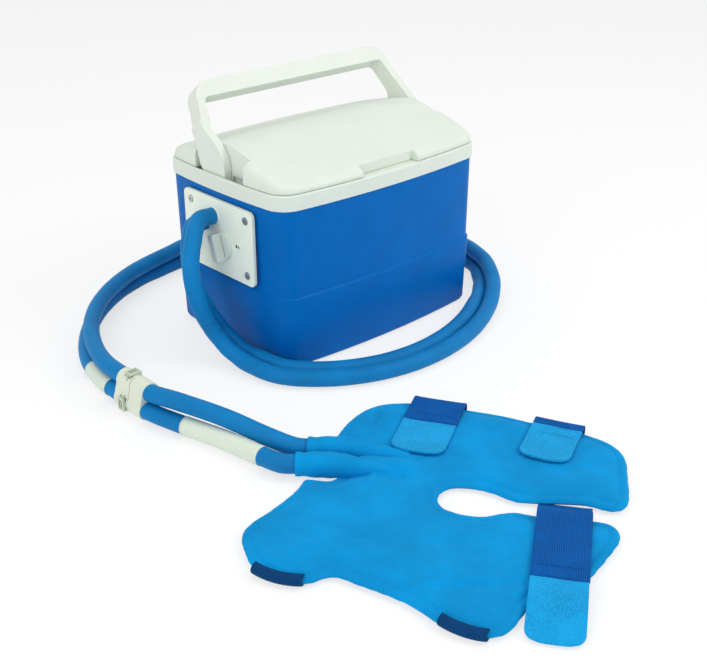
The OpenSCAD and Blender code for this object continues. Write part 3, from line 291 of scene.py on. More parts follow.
# brushed cloth over the pad's bladder: short nap lying in patches, over a knit
def brushedCloth(name, colour):
    s = newSheet(name)
    at = s.place()
    fibres = s.noise(s.scaled(at, (700, 2600, 900), turn=(0, 0, 0.5)), detail=4, rough=0.7)
    crossed = s.noise(s.scaled(at, (2600, 700, 900), turn=(0, 0, 0.2)), detail=4, rough=0.7)
    brushed = s.noise(at, scale=22, detail=4, rough=0.62)
    knit = s.cells(at, scale=1500)
    tone = s.between(s.eased(brushed, 0.32, 0.72), shade(colour, 0.86), shade(colour, 1.12))
    tone = s.between(s.eased(fibres, 0.4, 0.75) * 0.35, tone, shade(colour, 1.4))
    s.nap(0.22, 0.45, clothSettings["padTint"], clothSettings["shine"])
    loops = s.bump(knit, 0.35, 0.0003)
    nap = s.bump(fibres * 0.6 + crossed * 0.4, 0.5, 0.00035, under=loops)
    return s.finish(tone, 0.78 + brushed * 0.14, nap)


# loop cloth of the tabs: small round loops standing close together, with painted shade between them
def loopCloth(name, colour):
    s = newSheet(name)
    at = s.place()
    loops = s.cells(at, scale=900)
    tufts = s.noise(at, scale=320, detail=4, rough=0.7)
    patches = s.noise(at, scale=40)
    # lighter loop tops and darker between the loops: painted highlight and painted shade
    tone = s.between(s.eased(loops, 0.1, 0.55), shade(colour, 1.12), shade(colour, 0.7))
    tone = s.between(s.eased(patches, 0.35, 0.7) * 0.4, tone, shade(colour, 1.15))
    s.nap(0.3, 0.5, clothSettings["tabTint"], clothSettings["shine"])
    return s.finish(tone, 0.85 + tufts * 0.1, s.bump(1 - loops + tufts * 0.6, 0.7, 0.0005))


# woven elastic: ribs along the strap crossed by fine picks, read from the strap's own map, with painted
# shade in the weave's hollows and painted highlight on its crests
def wovenElastic(name, colour):
    s = newSheet(name)
    uv = s.place("UV")
    ribs = (s.axis(uv, "Y") * (2 * math.pi / clothSettings["ribWidth"])).sine() * 0.5 + 0.5
    picks = (s.axis(uv, "X") * (2 * math.pi / clothSettings["pickWidth"])).sine() * 0.5 + 0.5
    patches = s.noise(s.place(), scale=60, detail=4, rough=0.6)
    weave = ribs * 0.6 + ribs * picks * 0.4
    # the weave's hollows darker and its crests lighter: painted shade and painted highlight
    tone = s.between(weave, shade(colour, 0.5), shade(colour, 1.15))
    tone = s.between(s.eased(patches, 0.4, 0.75) * 0.3, tone, shade(colour, 1.3))
    s.nap(0.12, 0.4, clothSettings["elasticTint"], clothSettings["shine"])
    return s.finish(tone, 0.72 + patches * 0.12, s.bump(weave, 0.7, 0.0004))


# a bare paper label under clear film, with painted shade on its wrinkles
def bareLabel(name, colour):
    s = newSheet(name)
    at = s.place()
    fibres = s.noise(at, scale=700, detail=4, rough=0.7)
    wrinkles = s.noise(s.scaled(at, (60, 140, 140)))
    tone = s.between(s.eased(fibres, 0.35, 0.75), shade(colour, 0.96), colour)
    # darker on the wrinkles: painted shade
    tone = s.between(s.eased(wrinkles, 0.55, 0.8) * 0.15, tone, shade(colour, 0.8))
    return s.finish(tone, 0.35 + wrinkles * 0.1, s.bump(wrinkles, 0.4, 0.0004))


paleShell = {"swell": 0.35, "scuff": 0.3, "shine": 0.3, "blotch": 0.018}
finishes = {
    "shell_blue": mouldedPlastic("shellBlue", (0.0, 0.130, 0.455), scuff=0.8, shine=0.06, blotch=0.05),
    "foam": beadFoam("insulatingFoam", (0.82, 0.74, 0.5)),
    "liner_white": mouldedPlastic("linerWhite", (0.85, 0.86, 0.83), rough=0.3, grain=0.5),
    "cooler_white": mouldedPlastic("coolerWhite", (0.69, 0.752, 0.672), 0.46, 1.4, **paleShell),
    "plate_ivory": mouldedPlastic("plateIvory", (0.83, 0.90, 0.78), grain=0.6, swell=0.3, scuff=0.4,
                                  shine=0.35, blotch=0.02),
    "seal_rubber": softRubber("sealRubber", (0.05, 0.05, 0.055)),
    "screw_steel": drawnMetal("screwSteel", (0.62, 0.62, 0.63)),
    "grey_plastic": mouldedPlastic("greyPlastic", (0.33, 0.36, 0.38), rough=0.42),
    "black_plastic": mouldedPlastic("blackPlastic", (0.02, 0.021, 0.023), rough=0.45),
    "cable_black": softRubber("cableBlack", (0.018, 0.018, 0.02)),
    "winding_copper": woundWire("windingCopper", (0.65, 0.27, 0.1)),
    "pipe_clear": cloudedTube("pipeClear", (0.66, 0.74, 0.78)),
    "hose_blue": foamSleeve("hoseBlue", hoseFinish["colour"], hoseFinish["dark"]),
    "coupling_white": mouldedPlastic("couplingWhite", (0.67, 0.72, 0.60), rough=0.38, grain=0.6, swell=0.3),
    "label_white": bareLabel("labelWhite", (0.66, 0.74, 0.63)),
    "knob_white": mouldedPlastic("knobWhite", (0.64, 0.74, 0.66), rough=0.34, grain=0.5, swell=0.3),
    "magnet_black": mouldedPlastic("magnetBlack", (0.03, 0.03, 0.034), rough=0.6, grain=1.6),
    "handle_white": mouldedPlastic("handleWhite", (0.715, 0.76, 0.69), 0.44, 1.2, **paleShell),
    "pad_blue": brushedCloth("padBlue", (0.0, 0.262, 0.605)),
    "strap_navy": wovenElastic("strapNavy", (0.0, 0.105, 0.42)),
    "tab_blue": loopCloth("tabBlue", (0.006, 0.37, 0.79)),
}
# a darker copy of the strap's elastic for the lips: painted shade
shadedLipElastic = wovenElastic("shadedLipElastic", (0.0, 0.055, 0.19))              # the lips, in shade
latchPlastic = mouldedPlastic("latchPlastic", (0.50, 0.57, 0.43), grain=0.6)   # the latch buttons
slotOf = {row["node"]: row["material_slot"] for row in frame["record"]["subparts"]}
bodyOf = {node: body for body, members in frame["record"]["behaviour"]["bodies"].items()
          for node in members}
for node, piece in frame["nodes"].items():
    piece.data.materials.clear()
    piece.data.materials.append(finishes[slotOf[node]])
print("finishes made:", len(finishes))


# turns a bmesh into a finished piece that rides on a body and stands for its CAD nodes
def finishPiece(bm, name, nodes, slot=None, body=None, sharp=35, recalc=True):
    if recalc:
        bmesh.ops.recalc_face_normals(bm, faces=bm.faces)
    mesh = bpy.data.meshes.new(name)
    bm.to_mesh(mesh)
    bm.free()
    mesh.polygons.foreach_set("use_smooth", [True] * len(mesh.polygons))
    mesh.set_sharp_from_angle(angle=math.radians(sharp))
    piece = bpy.data.objects.new(name, mesh)
    bpy.context.scene.collection.objects.link(piece)
    slot = slot or slotOf[nodes[0]]
    mesh.materials.append(finishes[slot])
    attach(piece, body or bodyOf[nodes[0]])
    if nodes:
        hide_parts(*nodes)
    return piece


# lays the modifiers into the mesh, so the piece is plain geometry
def applyModifiers(piece):
    graph = bpy.context.evaluated_depsgraph_get()
    made = bpy.data.meshes.new_from_object(piece.evaluated_get(graph))
    old = piece.data
    piece.modifiers.clear()
    piece.data = made
    bpy.data.meshes.remove(old)
    made.name = piece.name


# hoses: the pair's middle line in millimetres, each point with the direction from its return
# hose to its supply hose
hoseSettings = {
    "radius": 0.008,
    "apart": 0.00815,      # from the pair's middle line to either hose
    "sides": 28,
    "step": 0.0035,
    "inside": 0.00012,     # the sleeve stays this much inside its radius
    "swell": 0.00016, "swellsPerMetre": 22,
    "ripple": 0.00012, "ripplesPerMetre": 160,
}
hoseRoute = [
    (-133.8, 12.5, 127.5, 0, -0.82, 0.57), (-150, 9, 128, -0.3, -0.8, 0.5),
    (-165, -3, 118, -0.4, -0.8, 0.2), (-174, -12, 99, -0.5, -0.8, 0),
    (-173, -16, 76, -0.6, -0.8, 0), (-165, -18, 52, -0.7, -0.7, 0),
    (-153, -23, 28, -0.8, -0.6, 0.1), (-144, -38, 11.5, -1, -0.2, 0.3),
    (-141, -62, 8.6, -1, 0, 0), (-135, -92, 8.2, -1, -0.4, 0),
    (-110, -121, 8.2, -0.6, -0.8, 0), (-72, -143, 8.2, -0.3, -1, 0),
    (-30, -153, 8.2, 0, -1, 0), (14, -152, 8.2, 0.1, -1, 0),
    (56, -142, 8.2, 0.3, -1, 0), (97, -124, 9, 0.5, -0.9, 0.1),
    (132, -102, 12, 0.5, -0.7, 0.5), (160, -74, 15, 0.4, -0.4, 0.9),
    (180, -40, 16.3, 0, 0, 1), (187, 0, 16.3, 0, 0, 1),
    (181, 45, 16.3, 0, 0, 1), (160, 92, 16.3, 0, 0, 1),
    (126, 132, 16.3, 0, 0, 1), (84, 162, 16.3, 0, 0, 1),
    (40, 182, 16.3, 0, 0, 1), (-2, 190, 16.3, 0, 0, 1),
    (-40, 189, 16.3, 0, 0, 1), (-78, 181, 16.3, 0, -0.2, 1),
    (-115, 172, 16.2, 0.1, -0.3, 1), (-154, 155, 16, 0.2, -0.3, 1),
    (-194, 126, 16, 0.2, -0.3, 1), (-228, 87, 16, 0.3, -0.2, 1),
    (-250, 47, 16, 0.4, -0.1, 1), (-262, 5, 16.5, 0.3, 0, 1),
    (-264, -30, 17, 0.26, 0, 0.97),
]
couplingAcross = Vector(hoseRoute[-1][3:]).normalized()
couplingMid = Vector((hoseRoute[-1][0], 0, hoseRoute[-1][2])) * mm
boreA = (couplingMid + hoseSettings["apart"] * couplingAcross) / mm
boreB = (couplingMid - hoseSettings["apart"] * couplingAcross) / mm
padSupplyRoute = [
    (boreA.x, -69, boreA.z), (-254.5, -96, 25.6), (-239, -142, 23.2),
    (-223, -186, 15.6), (-214, -203, 12), (-207, -210, 11),
]
padReturnRoute = [
    (boreB.x, -69, boreB.z), (-258.5, -102, 8.4), (-246, -150, 8.4),
    (-240, -192, 9.5), (-236, -214, 11), (-229, -221, 11),
]


# a smooth line through points, sampled evenly; the ends keep their given directions
def smoothLine(points, step, startDir=None, endDir=None):
    points = [Vector(p) for p in points]
    firstLeg, lastLeg = points[1] - points[0], points[-1] - points[-2]
    before = points[0] - (startDir or firstLeg).normalized() * firstLeg.length
    after = points[-1] + (endDir or lastLeg).normalized() * lastLeg.length
    padded = [before] + points + [after]
    fine, fineSteps = [], 24
    for i in range(1, len(padded) - 2):
        p0, p1, p2, p3 = padded[i - 1:i + 3]
        k0, k1, k2 = (max((b - a).length, 1e-6) ** 0.5 for a, b in ((p0, p1), (p1, p2), (p2, p3)))
        m1 = ((p1 - p0) / k0 - (p2 - p0) / (k0 + k1) + (p2 - p1) / k1) * k1
        m2 = ((p2 - p1) / k1 - (p3 - p1) / (k1 + k2) + (p3 - p2) / k2) * k1
        for j in range(fineSteps):
            t = j / fineSteps
            fine.append(p1 * (2 * t ** 3 - 3 * t * t + 1) + m1 * (t ** 3 - 2 * t * t + t)
                        + p2 * (3 * t * t - 2 * t ** 3) + m2 * (t ** 3 - t * t))
    fine.append(points[-1])
    lengths = [0]
    for a, b in zip(fine, fine[1:]):
        lengths.append(lengths[-1] + (b - a).length)
    count = max(2, round(lengths[-1] / step))
    out, at = [], 0
    for n in range(count + 1):
        want = lengths[-1] * n / count
        while at < len(fine) - 2 and lengths[at + 1] < want:
            at += 1
        span = lengths[at + 1] - lengths[at]
        out.append(fine[at].lerp(fine[at + 1], (want - lengths[at]) / span if span else 0))
    return out


def lineLength(line):
    return sum((b - a).length for a, b in zip(line, line[1:]))


def lineDirections(line, startDir=None, endDir=None):
    last = len(line) - 1
    found = [(line[min(i + 1, last)] - line[max(i - 1, 0)]).normalized() for i in range(last + 1)]
    if startDir:
        found[0] = startDir.normalized()
    if endDir:
        found[-1] = endDir.normalized()
    return found


# sweeps a ring along a line, radii(place, angle) from it, with a map of metres along and round it
def sweepTube(line, radii, sides, guide, directions, closeEnds=True):
    bm = bmesh.new()
    uvLayer = bm.loops.layers.uv.new("UVMap")
    made = bmesh.ops.create_circle(bm, cap_ends=False, segments=sides, radius=1)
    ring = made["verts"]
    edges = list(bm.edges)
    along, where = 0.0, {}
    lastGuide = guide[0] if isinstance(guide, list) else guide
    for i, centre in enumerate(line):
        if i:
            along += (centre - line[i - 1]).length
            out = bmesh.ops.extrude_edge_only(bm, edges=edges)["geom"]
            fresh = {g for g in out if isinstance(g, bmesh.types.BMVert)}
            edges = [g for g in out if isinstance(g, bmesh.types.BMEdge)
                     and g.verts[0] in fresh and g.verts[1] in fresh]
            ring = [next(e.other_vert(v) for e in v.link_edges if e.other_vert(v) in fresh) for v in ring]
        wanted = guide[i] if isinstance(guide, list) else lastGuide
        across = (wanted - directions[i] * wanted.dot(directions[i])).normalized()
        lastGuide = across
        up = directions[i].cross(across)
        for k, v in enumerate(ring):
            a = 2 * math.pi * k / sides
            v.co = centre + (across * math.cos(a) + up * math.sin(a)) * radii(i, a)
            where[v] = (along, k / sides)
        if i == 0:
            first = ring
    last = ring
    girth = 2 * math.pi * hoseSettings["radius"]
    for face in bm.faces:
        seam = any(where[l.vert][1] > 0.75 for l in face.loops)
        for l in face.loops:
            u, v = where[l.vert]
            l[uvLayer].uv = (u, (v + 1 if seam and v < 0.25 else v) * girth)
    if closeEnds:
        for end in (first, last):
            rimEdges = [e for e in bm.edges if e.is_boundary and e.verts[0] in end and e.verts[1] in end]
            bmesh.ops.contextual_create(bm, geom=rimEdges)
    return bm


# the foam sleeve's radius along a line: slow swellings and small ripples
def sleeveRadius(line, seed):
    h = hoseSettings

    def found(i, angle):
        slow = noise.noise(line[i] * h["swellsPerMetre"] + Vector((seed, 0, 0))) * h["swell"]
        ripple = noise.noise(line[i] * h["ripplesPerMetre"] + Vector((0, seed, 0))) * h["ripple"]
        return h["radius"] - h["inside"] + slow + ripple
    return found


def makeHose(name, node, line, startDir, endDir, guide, seed):
    directions = lineDirections(line, startDir, endDir)
    bm = sweepTube(line, sleeveRadius(line, seed), hoseSettings["sides"], guide, directions)
    return finishPiece(bm, name, [node], sharp=60)


def routeLine(route, startDir, endDir):
    return smoothLine([Vector(p[:3]) * mm for p in route], hoseSettings["step"], startDir, endDir)


minusX, minusY, upward = Vector((-1, 0, 0)), Vector((0, -1, 0)), Vector((0, 0, 1))
towardPad = Vector((1, -1, 0)).normalized()
midLine = routeLine(hoseRoute, minusX, minusY)
midDirections = lineDirections(midLine, minusX, minusY)


# the split direction at each sample, eased between the route's own
def splitAlong(line, directions):
    keys = [Vector(p[:3]) * mm for p in hoseRoute]
    spots, at = [], 0
    for key in keys:
        near = min(range(at, len(line)), key=lambda i: (line[i] - key).length)
        spots.append(near)
        at = near
    found = []
    for i in range(len(line)):
        j = max(k for k in range(len(spots)) if spots[k] <= i)
        j = min(j, len(spots) - 2)
        span = max(1, spots[j + 1] - spots[j])
        t = (i - spots[j]) / span
        t = t * t * (3 - 2 * t)
        a, b = Vector(hoseRoute[j][3:]).normalized(), Vector(hoseRoute[j + 1][3:]).normalized()
        v = a.lerp(b, t)
        d = directions[i]
        found.append((v - d * v.dot(d)).normalized())
    return found


splits = splitAlong(midLine, midDirections)
supplyLine = [p + s * hoseSettings["apart"] for p, s in zip(midLine, splits)]
returnLine = [p - s * hoseSettings["apart"] for p, s in zip(midLine, splits)]
padSupplyLine = routeLine(padSupplyRoute, minusY, towardPad)
padReturnLine = routeLine(padReturnRoute, minusY, towardPad)
# each hose: its piece, CAD node and line, its directions at both ends, what its rings are turned
# to, its seed, and the piece it ends in and how
hoseFacts = [
    ("supplyHose", "hose_supply", supplyLine, minusX, minusY, splits, 1.7, "coupling_socket", "connector"),
    ("returnHose", "hose_return", returnLine, minusX, minusY, splits, 5.1, "coupling_socket", "connector"),
    ("padSupplyHose", "pad_hose_supply", padSupplyLine, minusY, towardPad, upward, 9.3,
     "coupling_plug", "object"),
    ("padReturnHose", "pad_hose_return", padReturnLine, minusY, towardPad, upward, 12.9,
     "coupling_plug", "object"),
]
hoses = [makeHose(*facts[:7]) for facts in hoseFacts]
print("hoses:", [round(lineLength(facts[2]), 3) for facts in hoseFacts])


copySettings = {"merge": 0.00002, "tiny": 0.00001, "flatDegrees": 0.6, "cornerDegrees": 32}


# a copy of a CAD node with its doubles merged, flats joined and corners rounded
def roundedCopy(node, name, width, segments):
    bm = bmesh.new()
    bm.from_mesh(frame["nodes"][node].data)
    bmesh.ops.remove_doubles(bm, verts=bm.verts, dist=copySettings["merge"])
    bmesh.ops.dissolve_degenerate(bm, dist=copySettings["tiny"], edges=bm.edges)
    bmesh.ops.dissolve_limit(bm, angle_limit=math.radians(copySettings["flatDegrees"]),
                             verts=bm.verts, edges=bm.edges)
    piece = finishPiece(bm, name, [node], recalc=False)
    bevel = piece.modifiers.new("edges", "BEVEL")
    bevel.width = width
    bevel.segments = segments
    bevel.limit_method = "ANGLE"
    bevel.angle_limit = math.radians(copySettings["cornerDegrees"])
    bevel.harden_normals = True
    bevel.use_clamp_overlap = True
    applyModifiers(piece)
    return piece


# each CAD node's piece, the width of its rounding and the rounding's segments
mouldedEdges = {
    "body_shell": ("coolerShell", 0.0010, 3), "collar": ("coolerCollar", 0.0012, 3),
    "lid_shell": ("coolerLid", 0.0016, 3), "handle": ("carryHandle", 0.0030, 4),
    "end_plate": ("controlPlate", 0.0008, 3), "hose_gland": ("portGland", 0.0006, 2),
    "flow_knob": ("flowKnob", 0.0009, 3), "power_socket": ("powerSocket", 0.0003, 2),
    "coupling_socket": ("couplingSocket", 0.0009, 3), "coupling_plug": ("couplingPlug", 0.0009, 3),
    "latch_button_a": ("latchButtonA", 0.0004, 2), "latch_button_b": ("latchButtonB", 0.0004, 2),
    "plate_screws": ("plateScrews", 0.0002, 2), "liner_tub": ("innerTub", 0.0015, 3),
    "lid_pan": ("lidPan", 0.0008, 2), "pump_housing": ("pumpHousing", 0.0008, 2),
    "pump_cover": ("pumpCover", 0.0006, 2), "valve_body": ("valveBody", 0.0008, 2),
    "clamp_plate": ("clampPlate", 0.0005, 2),
}
hardPieces = {}
for node, (name, width, segments) in mouldedEdges.items():
    hardPieces[node] = roundedCopy(node, name, width, segments)
for node in ("latch_button_a", "latch_button_b"):
    hardPieces[node].data.materials[0] = latchPlastic
print("hard pieces:", len(hardPieces))


padSettings = {
    "voxel": 0.0030, "outlineStep": 0.003,
    "low": 0.0008, "high": 0.0072,   # the slab before it is blown up
    "pressure": 4.0, "frames": 20, "mass": 0.3, "stiffness": 18, "bending": 1.2,
    "swellCap": 0.0040,
    "weldWidth": 0.004, "weldEase": 0.005,   # the edge that is held while the rest is blown up
    "blownShare": 0.45,   # of the height, the rest is drawn
    "crownFrom": 0.003, "crownOver": 0.016, "crownRise": 0.0036,
    "lumps": [(26, (0, 0, 0), 0.0011), (75, (3, 1, 0), 0.00045)],   # per metre, shift, height
    "ridgeEase": 0.012, "grooveEase": 0.006,
    "rim": 0.0075,   # from the edge to the rim's sewn line
    "rimTop": 0.0058,   # height of the rim's face
    "seamDeep": 0.0013, "seamHalf": 0.0016,
    "roundWidth": 0.004, "roundDrop": 0.0020,   # how the outer edge falls away
    "bottomEase": 0.012, "bottomFlat": 0.35, "bottomLow": 0.0002, "bottomGap": 0.0001,
    "strapTop": 0.0090,   # the pad is pressed down to this under its straps
    "pressEase": 0.008,
}
# the pad's edge in millimetres, counter-clockwise from the hose ports round the knee hole
padEdge = [
    (-231, -236), (-240, -239), (-250, -243), (-266, -247), (-283, -250), (-298, -252), (-310, -257),
    (-318, -266), (-324, -278), (-329, -290), (-330, -302), (-326, -315), (-320, -326),
    (-310, -334), (-300, -336), (-293, -341), (-290, -352), (-284, -370), (-279, -389),
    (-277, -406), (-277, -420), (-272, -438), (-265, -451), (-252, -458), (-238, -456),
    (-222, -452), (-206, -452), (-190, -456), (-174, -460), (-158, -459), (-139, -455),
    (-122, -451), (-112, -446), (-106, -437), (-108, -427), (-117, -415), (-128, -401),
    (-138, -388), (-145, -376), (-154, -369), (-166, -363), (-174, -354), (-179, -343),
    (-180, -333), (-175, -324), (-164, -319), (-153, -322), (-145, -331), (-139, -342),
    (-136, -354), (-134, -365), (-128, -373), (-101, -401), (-95, -412),
    (-91, -422), (-84, -427), (-74, -426), (-60, -417), (-42, -403), (-27, -391),
    (-17, -378), (-14, -362), (-17, -343), (-24, -322), (-34, -302), (-44, -277),
    (-58, -251), (-71, -228), (-85, -209), (-97, -198), (-110, -191), (-126, -189),
    (-145, -193), (-160, -199), (-173, -206), (-185, -216), (-177, -224), (-193, -240),
    (-216, -250.5),
]
# swellings and sewn lines on the pad's face: height or depth, half width, and their points in mm
padRidges = [
    (0.0042, 0.0095, [(-205, -232), (-190, -248), (-178, -262), (-163, -282)]),
    (0.0030, 0.0090, [(-190, -222), (-176, -236), (-160, -254), (-150, -268)]),
    (0.0022, 0.0050, [(-189, -268), (-203, -282), (-215, -296), (-227, -310), (-238, -325)]),
    (0.0018, 0.0120, [(-300, -300), (-278, -318), (-255, -352), (-240, -390)]),
    (0.0014, 0.0110, [(-120, -215), (-92, -240), (-72, -272), (-56, -306), (-46, -340)]),
]
padGrooves = [
    (0.0030, 0.0045, [(-186, -234), (-176, -246), (-162, -264), (-152, -276)]),
    (0.0030, 0.0045, [(-219, -247), (-205, -259), (-196, -267), (-178, -286)]),
    (0.0022, 0.0035, [(-124, -203), (-132, -210), (-142, -214)]),
    (0.0020, 0.0032, [(-244, -404), (-238, -409), (-230, -417)]),
    (0.0016, 0.0040, [(-262, -392), (-244, -410), (-226, -424), (-205, -436)]),
    (0.0018, 0.0030, [(-259, -318), (-254, -322)]),
    (0.0014, 0.0040, [(-300, -262), (-306, -278), (-308, -296)]),
    (0.0012, 0.0045, [(-100, -352), (-82, -366), (-64, -376), (-44, -382)]),
    (0.0012, 0.0040, [(-222, -362), (-206, -376), (-190, -386)]),
]
# a strap's edge point, its turn in degrees, its width, its reach, and the length of its tab
strapFacts = {
    "topLeft": ((-0.072, -0.229), 30, 0.046, 0.038, 0.050),
    "topRight": ((-0.025, -0.322), 25, 0.042, 0.009, 0.054),
    "right": ((-0.112, -0.396), 215.3, 0.041, 0.096),
    "lowerLeft": ((-0.3246, -0.3134), 205, 0.038),
    "lower": ((-0.2706, -0.4365), 199, 0.034),
    "thick": 0.0020, "tabThick": 0.0019,
    "top": 0.0093,         # height of a strap's underside on the pad
    "out": 0.0026,         # how far it stands out past the pad's edge
    "wrapIn": 0.022,       # how far it runs back under the pad
}


def smoothClosed(points, step):
    n = len(points)
    out = []
    for i in range(n):
        p0, p1, p2, p3 = (Vector((*points[(i + k) % n], 0)) * mm for k in (-1, 0, 1, 2))
        count = max(2, round((p2 - p1).length / step))
        for j in range(count):
            t = j / count
            out.append(0.5 * (2 * p1 + (p2 - p0) * t + (2 * p0 - 5 * p1 + 4 * p2 - p3) * t * t
                              + (3 * p1 - p0 - 3 * p2 + p3) * t ** 3))
    return out


def pointTree(points):
    tree = KDTree(len(points))
    for i, p in enumerate(points):
        tree.insert(p, i)
    tree.balance()
    return tree


def eased(t):
    t = max(0.0, min(1.0, t))
    return t * t * (3 - 2 * t)


def linePoints(points, step=0.0015):
    return smoothLine([Vector((*p, 0)) * mm for p in points], step)


# places along a strap's own axes: along its run, and across it
def onStrap(edge, turn, along, across):
    a = math.radians(turn)
    c, s = math.cos(a), math.sin(a)
    return Vector((edge[0] + along * c - across * s, edge[1] + along * s + across * c, 0))


edgeTree = pointTree(smoothClosed(padEdge, 0.0008))
ridgeTrees = [(height, half, pointTree(linePoints(points))) for height, half, points in padRidges]
grooveTrees = [(depth, half, pointTree(linePoints(points))) for depth, half, points in padGrooves]


# whether a point lies under a strap or its tab: 1 well under it, and 0 well clear
def underStraps(p):
    found, ease = 0, padSettings["pressEase"]
    for key, low, high in (("topLeft", -0.088, 0.01), ("topRight", -0.063, 0.01), ("right", 0, 0.16)):
        edge, turn, width = strapFacts[key][:3]
        a = math.radians(turn)
        d = Vector((p.x - edge[0], p.y - edge[1], 0))
        along = d.x * math.cos(a) + d.y * math.sin(a)
        across = abs(-d.x * math.sin(a) + d.y * math.cos(a))
        inside = min(along - low, high - along, width / 2 - across)
        found = max(found, eased((inside + ease) / ease))
    return found


# the slab inside the pad's edge, as an even grid
def padSlab():
    bm = bmesh.new()
    outline = smoothClosed(padEdge, padSettings["outlineStep"])
    ring = [bm.verts.new((p.x, p.y, padSettings["low"])) for p in outline]
    rim = [bm.edges.new((a, b)) for a, b in zip(ring, ring[1:] + ring[:1])]
    bmesh.ops.contextual_create(bm, geom=rim)
    top = bmesh.ops.extrude_face_region(bm, geom=list(bm.faces))["geom"]
    bmesh.ops.translate(bm, verts=[v for v in top if isinstance(v, bmesh.types.BMVert)],
                        vec=(0, 0, padSettings["high"] - padSettings["low"]))
    piece = finishPiece(bm, "kneePad", ["pad"], sharp=180)
    piece.data.materials.clear()
    remesh = piece.modifiers.new("evenGrid", "REMESH")
    remesh.mode = "VOXEL"
    remesh.voxel_size = padSettings["voxel"]
    applyModifiers(piece)
    return piece


# blows the slab up as cloth, held along its welded edge
def blowUp(piece):
    rest = [v.co.copy() for v in piece.data.vertices]
    held = piece.vertex_groups.new(name="held")
    for i, p in enumerate(rest):
        toEdge = edgeTree.find(Vector((p.x, p.y, 0)))[2]
        weld = 1 - eased((toEdge - padSettings["weldWidth"]) / padSettings["weldEase"])
        held.add([i], weld, "REPLACE")
    cloth = piece.modifiers.new("blown", "CLOTH")
    inner = cloth.settings
    inner.quality = 5
    inner.mass = padSettings["mass"]
    inner.use_pressure = True
    inner.uniform_pressure_force = padSettings["pressure"]
    inner.vertex_group_mass = "held"
    inner.tension_stiffness = inner.compression_stiffness = padSettings["stiffness"]
    inner.bending_stiffness = padSettings["bending"]
    inner.effector_weights.gravity = 0
    cloth.collision_settings.use_collision = False
    for n in range(1, padSettings["frames"] + 1):
        bpy.context.scene.frame_set(n)
    applyModifiers(piece)
    bpy.context.scene.frame_set(1)
    for v, was in zip(piece.data.vertices, rest):
        moved = v.co - was
        v.co = was + moved * min(1, padSettings["swellCap"] / max(moved.length, 1e-9))


# the height of the pad's face at a point, given the height it was blown up to
def faceHeight(flat, toEdge, blown):
    p = padSettings
    crown = eased((toEdge - p["crownFrom"]) / p["crownOver"])
    height = p["rimTop"] + crown * p["crownRise"]
    for perMetre, shift, lift in p["lumps"]:
        height += noise.noise(flat * perMetre + Vector(shift)) * lift * crown
    height = height * (1 - p["blownShare"]) + blown * p["blownShare"]
    for lift, half, tree in ridgeTrees:
        height += lift * math.exp(-(tree.find(flat)[2] / half) ** 2) * eased(toEdge / p["ridgeEase"])
    for depth, half, tree in grooveTrees:
        height -= depth * math.exp(-(tree.find(flat)[2] / half) ** 2) * eased(toEdge / p["grooveEase"])
    height -= p["seamDeep"] * math.exp(-((toEdge - p["rim"]) / p["seamHalf"]) ** 2)
    if toEdge < p["roundWidth"]:
        height -= p["roundDrop"] * (1 - toEdge / p["roundWidth"]) ** 2
    press = underStraps(flat)
    return height * (1 - press) + min(height, p["strapTop"]) * press


def makePad():
    piece = padSlab()
    blowUp(piece)
    finer = piece.modifiers.new("finer", "SUBSURF")
    finer.levels = finer.render_levels = 1
    applyModifiers(piece)
    bm = bmesh.new()
    bm.from_mesh(piece.data)
    bmesh.ops.smooth_vert(bm, verts=bm.verts, factor=0.5, use_axis_x=True, use_axis_y=True,
                          use_axis_z=True)
    middle = (padSettings["low"] + padSettings["high"]) / 2
    flatShare = padSettings["bottomFlat"]
    for v in bm.verts:
        flat = Vector((v.co.x, v.co.y, 0))
        toEdge = edgeTree.find(flat)[2]
        if v.co.z > middle:
            v.co.z = max(faceHeight(flat, toEdge, v.co.z), middle)
        else:
            nearEdge = 1 - eased(toEdge / padSettings["bottomEase"])
            height = max(v.co.z, padSettings["bottomLow"])
            v.co.z = height * (flatShare + (1 - flatShare) * nearEdge) + padSettings["bottomGap"]
    bm.to_mesh(piece.data)
    bm.free()
    piece.data.materials.append(finishes["pad_blue"])
    piece.data.polygons.foreach_set("use_smooth", [True] * len(piece.data.polygons))
    return piece


kneePad = makePad()
print("pad:", len(kneePad.data.polygons), "faces")


stripSettings = {"columns": 15, "curl": 0.0004, "sag": -0.0001, "wavesPerMetre": 55, "softEdge": 0.3}


